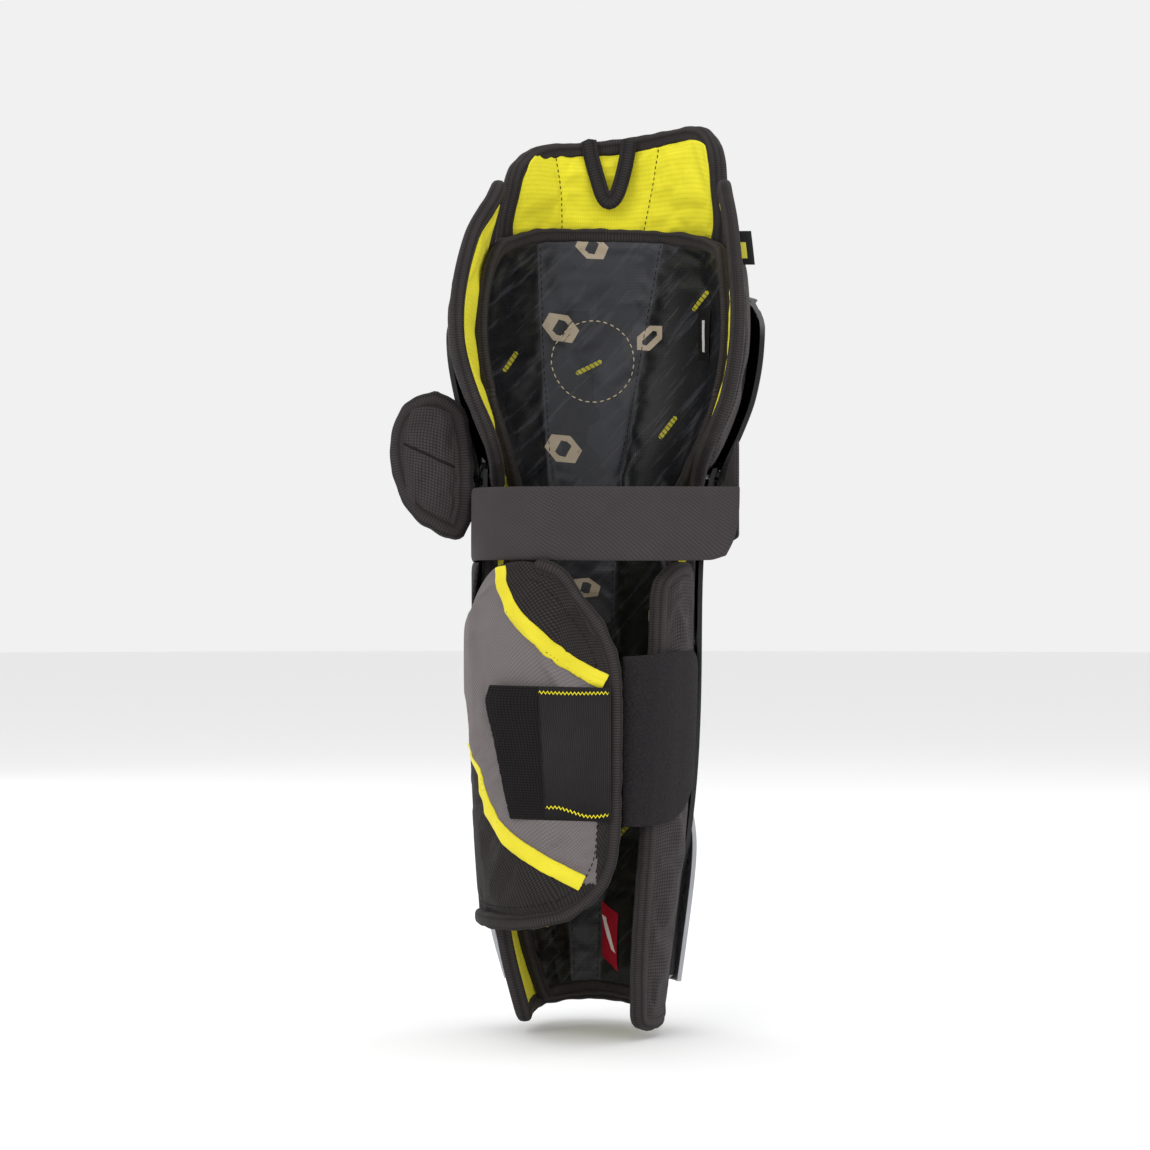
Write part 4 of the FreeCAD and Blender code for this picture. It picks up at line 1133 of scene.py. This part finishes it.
finishPad(linerBody, 0.6, None, "liner_print", "shin_liner", "knee_liner")
panel = linerBody.data.attributes.new("panel", "FLOAT", "POINT")
for i, v in enumerate(linerBody.data.vertices):
    # how far inside the middle panel a point is, in millimetres
    x, z = v.co.x / mm, v.co.z / mm
    panel.data[i].value = min(x - seamX(liner["seams"][0], z), seamX(liner["seams"][1], z) - x, v.co.y / mm)
for loop in linerBody.data.loops:
    # the print's map is the liner's own x across its face, and height
    x, y, z = linerBody.data.vertices[loop.vertex_index].co / mm
    linerBody.data.uv_layers.active.data[loop.index].uv = (x - 0.6 * min(0.0, y) * (1 if x > 0 else -1), z)
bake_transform(linerBody)
linerRim = ([linerSpot(0, 1 - k / 160) for k in range(161)] + [linerSpot(k / 50, 0) for k in range(1, 50)]
            + [linerSpot(1, k / 160) for k in range(161)] + [linerSpot(1 - k / 60, 1) for k in range(1, 60)])
linerTape = edgeBinding("printed_liner_tape", wall, linerRim, liner["layers"], True,
                        width=4.3, lip=1.5, inset=2.0, spacing=2.2)
belongs(linerTape, None, "liner_tape", "shin_liner_binding", "knee_liner_binding")
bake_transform(linerTape)

linerFace = surfaceOf(linerBody)


def linerStitches(name, flat, length, gap, radius, materialName, lift=0.15):
    # stitches along a line given as (x, height) on the liner's face
    spots = [onSurface(linerFace, wall, angleAt(x, z), z, lift) for x, z in flat]
    return stitchRun(name, *apart(spots), length, gap, radius, materialName)


ringX, ringZ, ringR = liner["ring"]
ringTurns = [k * math.tau / 120 for k in range(121)]
ringLine = [(ringX + ringR * math.cos(a), ringZ + ringR * math.sin(a)) for a in ringTurns]
ring = linerStitches("liner_ring_stitches", ringLine, 3.0, 1.25, 0.42, "threadBeige")
belongs(ring, "knee", "liner_tape")
for i, points in enumerate(liner["seams"]):
    for part, low, high, bodyName in (("shin", 26, 294, "shin"), ("knee", 324, 452, "knee")):
        line = []
        for k in range(121):
            z = low + (high - low) * k / 120
            line.append((seamX(points, z) + (1.8 if i == 0 else -1.8), z))
        run = linerStitches(f"liner_seam_stitches_{part}_{i}", line, 2.6, 1.2, 0.26, "threadBlack", 0.05)
        belongs(run, bodyName, "liner_tape")


def flatLabel(name, corners, bodyName, slotName, materialName, size, replaced=()):
    # a small sewn label on the liner: corners as (x, height), foot left, foot right, head right, head left
    piece = gridPiece(name, 8, 16)
    for v in piece.data.vertices:
        p, q = v.co.x, v.co.y
        foot = [corners[0][k] + (corners[1][k] - corners[0][k]) * p for k in (0, 1)]
        head = [corners[3][k] + (corners[2][k] - corners[3][k]) * p for k in (0, 1)]
        x, z = foot[0] + (head[0] - foot[0]) * q, foot[1] + (head[1] - foot[1]) * q
        lift = 0.5 + 0.8 * p * math.sin(math.pi * q)
        v.co = onSurface(linerFace, wall, angleAt(x, z), z, lift)[0] * mm
    scaleMap(piece, *size)
    applyModifier(piece, "SOLIDIFY", thickness=0.0007, offset=0)
    applyModifier(piece, "BEVEL", width=0.0002, segments=2)
    turnOutwards(piece)
    setMaterials(piece, [materialName])
    smoothShade(piece, 50)
    belongs(piece, bodyName, slotName, *replaced)


flatLabel("liner_label_tab", [(1.4, 38), (11.4, 30.5), (11.8, 63), (0.6, 70)], "shin", "label_red", "labelRed",
          (10, 38), ("liner_label",))
flatLabel("liner_side_patch", [(58.5, 384), (64.5, 382), (65, 412), (59, 413)], "knee", "label_black",
          "labelPatch", (8, 29))
print("liner done")


# calf wrap finish

def wrapZone(face):
    # grey twill lies between the strips, black knit above and below them
    spots = [wrapPad.data.uv_layers.active.data[loop].uv for loop in face.loop_indices]
    across = sum(spot[0] for spot in spots) / len(spots) / calfWrap["size"][0]
    up = sum(spot[1] for spot in spots) / len(spots) / calfWrap["size"][1]
    w, z = calfWrap["spot"](across, up)
    return z > smooth(stripeLines[0], w) or z < smooth(stripeLines[1], w) or w > 111.5


setMaterials(wrapPad, ["mesh"])
byPlace(wrapPad, lambda face: face.material_index == 0 and wrapZone(face), 2)
finishPad(wrapPad, 0.6, None, "twill_grey", "calf_wrap_pad", "calf_wrap_cover")
wrapStart, wrapEnd = place(back, -4, 160, 5) * mm, place(back, 6, 160, 5) * mm
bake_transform(wrapPad)
wrapFace = surfaceOf(wrapPad)
wrapRim = ([along(calfWrap["sides"]["bottom"], k / 80) for k in range(12, 81)]
           + [along(calfWrap["sides"]["right"], k / 80) for k in range(1, 81)]
           + [along(calfWrap["sides"]["top"], 1 - k / 80) for k in range(1, 30)])
wrapTape = edgeBinding("calf_wrap_tape", back, wrapRim, (0.4, 6.4), False, width=4.4, lip=0.7, inset=0.8)
belongs(wrapTape, "calf_wrap", "binding_black", "calf_wrap_binding")


def pipingStrip(name, line, width, taper):
    # a soft yellow strip laid over a seam of the cover, crowned across its width
    steps = 110

    def halfAt(s):
        # the strip starts narrower by its taper, and is at its full width from 0.42 of the way
        return width * (1 - taper * (1 - ramp(s, 0.1, 0.42)))

    piece = gridPiece(name, steps, 10)
    middle = []
    for k in range(steps + 1):
        w, z = along(line, k / steps)
        middle.append(onSurface(wrapFace, back, w, z, 0.0, True))
    for v in piece.data.vertices:
        i, k = round(v.co.x * steps), v.co.y * 2 - 1
        half = halfAt(v.co.x)
        spot, normal = middle[i]
        tangent = (middle[min(i + 1, steps)][0] - middle[max(i - 1, 0)][0]).normalized()
        near, facing = wrapFace.find_nearest((spot + tangent.cross(normal) * k * half) * mm)[:2]
        facing = facing if facing.dot(normal) > 0 else -facing
        v.co = near + facing * (1.1 * (1 - abs(k) ** 2.5) + 0.05) * mm
    scaleMap(piece, steps, 9)
    applyModifier(piece, "SOLIDIFY", thickness=0.0009, offset=0)
    applyModifier(piece, "SUBSURF", levels=1, render_levels=1)
    turnOutwards(piece)
    setMaterials(piece, ["piping"])
    smoothShade(piece, 60)
    belongs(piece, "calf_wrap", "lining_yellow")
    # a row of dark stitches just inside the strip's grey edge
    row = []
    for k in range(8, steps - 1):
        spot, normal = middle[k]
        tangent = (middle[k + 1][0] - middle[k - 1][0]).normalized()
        side = tangent.cross(normal)
        side = side if side.dot(greySide[name]) > 0 else -side
        near = wrapFace.find_nearest((spot + side * halfAt(k / steps) * 0.62) * mm)[0]
        row.append((near / mm + normal * 1.0, normal))
    run = stitchRun(name + "_stitches", *apart(row), 1.5, 0.9, 0.24, "threadBlack")
    belongs(run, "calf_wrap", "binding_black")


greySide = {"calf_wrap_piping_0": Vector((-1, 0, -1)), "calf_wrap_piping_1": Vector((1, 0, 1))}
for i, line in enumerate(stripeLines):
    pipingStrip(f"calf_wrap_piping_{i}", line, calfWrap["stripeHalf"], (0.15, 0.85)[i])


def insetRun(flat, distance, centre):
    # a line drawn inside an outline, a distance from it
    moved = []
    for i in range(1, len(flat) - 1):
        dx, dy = flat[i + 1][0] - flat[i - 1][0], flat[i + 1][1] - flat[i - 1][1]
        length = max(math.hypot(dx, dy), 1e-6)
        nx, ny = -dy / length, dx / length
        if nx * (centre[0] - flat[i][0]) + ny * (centre[1] - flat[i][1]) < 0:
            nx, ny = -nx, -ny
        moved.append((flat[i][0] + nx * distance, flat[i][1] + ny * distance))
    return moved


wrapStitchLine = insetRun(wrapRim, 9.4, (60, 165))
spots = [onSurface(wrapFace, back, w, z, 0.1, True) for w, z in wrapStitchLine if w > 14]
wrapStitches = stitchRun("calf_wrap_edge_stitches", *apart(spots), 2.4, 1.2, 0.35, "threadBlack")
belongs(wrapStitches, "calf_wrap", "binding_black")
print("calf wrap done")


# flat straps

def strapPiece(name, spec):
    # a flat strap laid on a band, with rounded edges
    piece = gridPiece(name, spec["columns"], spec["rows"])
    flat = [(v.co.x, v.co.y) for v in piece.data.vertices]
    applyModifier(piece, "SOLIDIFY", thickness=0.01, offset=-1)
    count = len(flat)
    (inside, outside), (wide, high) = spec["layers"], spec["size"]
    middle, half = (inside + outside) / 2, (outside - inside) / 2
    for i, v in enumerate(piece.data.vertices):
        p, q = flat[i % count]
        a, z = spec["spot"](p, q)
        full = puffAt(min(p * wide, (1 - p) * wide, q * high, (1 - q) * high), spec["round"])
        t = middle + (half if i < count else -half) * (0.25 + 0.75 * full)
        if "shape" in spec:
            t += spec["shape"](a, z)
        t += spec.get("sway", 0.0) * noise.noise(Vector((a * 0.05, z * 0.03, 4.0)))
        v.co = place(spec["band"], a, z, t) * mm
    scaleMap(piece, wide, high)
    turnOutwards(piece)
    setMaterials(piece, spec["materials"])
    applyModifier(piece, "SUBSURF", levels=1, render_levels=1)
    smoothShade(piece, 60)
    belongs(piece, spec.get("body"), spec["slot"], *spec["replaced"])
    return piece


elasticStrap = dict(
    band=back, layers=(8.7, 10.5), columns=90, rows=70, size=(82, 75), body="calf_strap", slot="elastic_black",
    replaced=("calf_strap", "calf_strap_hook"), materials=["elastic", "elasticLoose"], round=0.8,
    foot=125.5, high=73.5, rightX=10.4, seamTop=-29.5, seamFoot=-25.5,
    leftX=[(125, -45.5), (135, -48), (170, -55.5), (190, -60), (199, -57.5)],
)


def elasticSpot(p, q):
    z = elasticStrap["foot"] + elasticStrap["high"] * q
    left = smooth(elasticStrap["leftX"], z) + 0.8 * noise.noise(Vector((z * 0.9, 3.1, 0)))  # a ragged cut end
    x = left + (elasticStrap["rightX"] - left) * p
    return backAt(x, z, 10.5), z - 1.2 * p


elasticStrap["spot"] = elasticSpot
elastic = strapPiece("calf_elastic_strap", elasticStrap)


def strapSeamX(z):
    foot, top = elasticStrap["seamFoot"], elasticStrap["seamTop"]
    return foot + (top - foot) * (z - elasticStrap["foot"]) / elasticStrap["high"]


byPlace(elastic, lambda face: face.center.x / mm < strapSeamX(face.center.z / mm), 1)
elasticFace = surfaceOf(elastic)


def backRun(tree, flat, lift):
    # points and normals on a made surface behind the calf, for flat (x, height) points
    spots = [onSurface(tree, back, backAt(x, z, 8.0), z, lift, True) for x, z in flat]
    return apart(spots)


def sewnLine(name, points, normals, half, materialName, bodyName, slotName):
    # a continuous thread or sunk seam along a line
    line = ribbon(name, points, normals, half, half * 0.8, False, 6, materialName)
    belongs(line, bodyName, slotName)


zigzag = dict(period=2.1, height=0.75, half=0.42, right=9.8)
for part, rows in (("top", [(-29.5, 195.2), (-10, 194.6), (10, 194.9)]),
                   ("foot", [(-25.5, 132.0), (-19, 132.2), (-12, 130.2), (-4, 127.6), (4, 127.4),
                             (10, 128.6)])):
    left = rows[0][0]
    count = int((zigzag["right"] - left) / zigzag["period"] * 2)
    flat = []
    for k in range(count + 1):
        x = left + k * zigzag["period"] / 2
        flat.append((x, smooth(rows, x) + (zigzag["height"] if k % 2 else -zigzag["height"])))
    points, normals = backRun(elasticFace, flat, 0.3)
    sewnLine(f"calf_strap_zigzag_{part}", points, normals, zigzag["half"], "threadYellow", "calf_strap",
             "lining_yellow")
seamLine = [(strapSeamX(z), z) for z in range(130, 196, 3)]
points, normals = backRun(elasticFace, seamLine, 0.0)
sewnLine("calf_strap_seam", points, normals, 0.45, "threadBlack", "calf_strap", "elastic_black")

neckStrap = dict(
    band=back, layers=(0.2, 2.5), columns=200, rows=20, size=(225, 41), slot="neoprene",
    replaced=("upper_strap", "upper_strap_root"), materials=["neoprene"], round=1.4, sway=0.5,
)


def neckSpot(p, q):
    low = smooth([(0, 266), (0.2, 267.5), (0.95, 267.5), (1, 270)], p)
    high = smooth([(0, 308.3), (1, 308.3)], p)
    end = smooth([(0, 183), (0.25, 187.5), (0.6, 190), (1, 190.5)], q)
    return -9 + (end + 9) * p, low + (high - low) * q


neck = strapPiece("upper_neoprene_strap", dict(neckStrap, spot=neckSpot))
foldA, foldB = place(back, 30, 288, 2.6) * mm, place(back, 42, 288, 2.6) * mm
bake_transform(neck)

wrapGusset = dict(
    band=back, layers=(0.2, 2.4), columns=30, rows=60, size=(24, 200), body="shin", slot="knit_charcoal",
    replaced=("calf_wrap_root",), materials=["mesh"], round=1.2,
)


def gussetSpot(p, q):
    # narrow beside the wrap, wider above it where the wrap's corner is cut away
    z = 67 + 199.5 * q
    reach = smooth([(67, -5.5), (205, -5.5), (232, 8), (266.5, 30)], z)
    return -9 + (reach + 9) * p, z


strapPiece("calf_wrap_gusset", dict(wrapGusset, spot=gussetSpot))

wrapPlate = dict(
    band=back, layers=(2.9, 3.9), columns=60, rows=40, size=(110, 160), body="calf_wrap", slot="inner_plate",
    replaced=("calf_wrap_plate",), materials=["sheet"], round=0.8, shape=calfWrap["shape"],
)


def plateSpot(p, q):
    low = smooth([(0, 84), (0.6, 90), (1, 112)], p)
    high = smooth([(0, 226), (0.3, 240), (0.6, 246), (1, 220)], p)
    return 8 + 100 * p, low + (high - low) * q


strapPiece("calf_wrap_stiffener", dict(wrapPlate, spot=plateSpot))

pileFlap = dict(
    band=loopBand, layers=(1.0, 2.8), columns=90, rows=60, size=(95, 96), body="loop_flap", slot="loop_pile",
    replaced=("loop_flap",), materials=["pile"], round=1.5,
)


def pileSpot(p, q):
    low = smooth([(0, 142), (0.12, 134), (0.25, 127), (0.45, 122.5), (0.7, 121), (1, 120.5)], p)
    high = smooth([(0, 209), (0.08, 215), (0.2, 217.5), (0.6, 216.5), (1, 214.5)], p)
    return p, low + (high - low) * q


pile = strapPiece("calf_loop_flap", dict(pileFlap, spot=pileSpot))

anchorFlap = dict(
    band=anchorBand, layers=(-2.9, -0.1), columns=40, rows=40, size=(50, 60), body="shin", slot="knit_charcoal",
    replaced=("strap_anchor",), materials=["charcoal"], round=1.4,
)


def anchorSpot(p, q):
    high = smooth([(0, 300), (0.35, 304), (0.7, 322), (1, 335)], p)
    low = smooth([(0, 272), (0.5, 276), (1, 280)], p)
    return p, low + (high - low) * q


anchor = strapPiece("strap_anchor_flap", dict(anchorFlap, spot=anchorSpot))

# stiffeners inside the knee wings
wingPlates = dict(
    band=wall, layers=(10.3, 11.4), columns=20, rows=50, size=(30, 120), body="knee", slot="inner_plate",
    replaced=("knee_wing_plates",), materials=["sheet"], round=0.8, shape=kneePad["shape"],
    low=336, high=456, start=97, margin=11,
)
for side, name in ((-1, "knee_wing_stiffener_outer"), (1, "knee_wing_stiffener_inner")):
    def wingSpot(p, q):
        z = wingPlates["low"] + (wingPlates["high"] - wingPlates["low"]) * q
        reach = 90 + smooth(kneePad["rear"], (z - 306) / 172) - wingPlates["margin"]
        return side * (wingPlates["start"] + (reach - wingPlates["start"]) * p), z

    strapPiece(name, dict(wingPlates, spot=wingSpot))
print("straps done")


# carried-over hard parts

hardFinish = dict(
    shin_shell="shell", knee_cap="shell", front_plate="plate", plate_rivets="steel", pivot_rivets="steel",
    inner_wing_plate="sheet", thigh_plate="sheet", knee_cap_foam="foam", shin_liner_patches="hook",
    knee_liner_patches="hook", upper_strap_hook="hook", side_flap_hook="hook",
)
for node, finish in hardFinish.items():
    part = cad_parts[node]
    part.data.materials.clear()
    part.data.materials.append(materials[finish])

# stage

floorPlan = dict(radius=9.0, colour="#f4f4f4", drop=-0.0005)
bpy.ops.object.select_all(action="DESELECT")
bpy.ops.mesh.primitive_circle_add(vertices=96, radius=floorPlan["radius"], fill_type="NGON",
                                  location=(0, 0, floorPlan["drop"]))
floor = bpy.context.object
floor.name = "floor"
material, tree, surface = startMaterial("paperFloor", 0.7)
surface.inputs["Base Color"].default_value = toLinear(floorPlan["colour"])
floor.data.materials.append(material)

lights = [
    dict(name="key", at=(-1.3, -2.0, 1.7), size=1.6, power=20),
    dict(name="fill", at=(1.8, -1.7, 0.9), size=1.8, power=9),
    dict(name="top", at=(0.0, 0.2, 2.4), size=2.0, power=10),
    dict(name="rimRight", at=(1.6, 1.3, 0.8), size=1.0, power=9),
    dict(name="rimLeft", at=(-1.5, 1.5, 0.9), size=1.2, power=9),
]
lampTarget = Vector((0, 0, 0.26))
for spec in lights:
    bpy.ops.object.light_add(type="AREA", location=spec["at"])
    lamp = bpy.context.object
    lamp.name = spec["name"]
    lamp.data.size = spec["size"]
    lamp.data.energy = spec["power"]
    aim = lampTarget - Vector(spec["at"])
    lamp.rotation_euler = aim.to_track_quat("-Z", "Y").to_euler()

world = bpy.data.worlds.new("paleStudio")
world.use_nodes = True
world.node_tree.nodes["Background"].inputs["Color"].default_value = (1, 1, 1, 1)
world.node_tree.nodes["Background"].inputs["Strength"].default_value = 0.88
bpy.context.scene.world = world
bpy.context.scene.view_settings.view_transform = "Standard"

camera = dict(azimuth=3.0, distance=1.8, span=0.6555, sensor=36, target=(-0.0131, 0.0, 0.2594))
bpy.ops.object.camera_add()
eye = bpy.context.object
turn = math.radians(camera["azimuth"])
target = Vector(camera["target"])
eye.location = target + Vector((math.sin(turn), -math.cos(turn), 0)) * camera["distance"]
eye.rotation_euler = (math.radians(90), 0, turn)
eye.data.sensor_width = camera["sensor"]
eye.data.lens = camera["sensor"] * camera["distance"] / camera["span"]
bpy.context.scene.camera = eye
print("stage done")
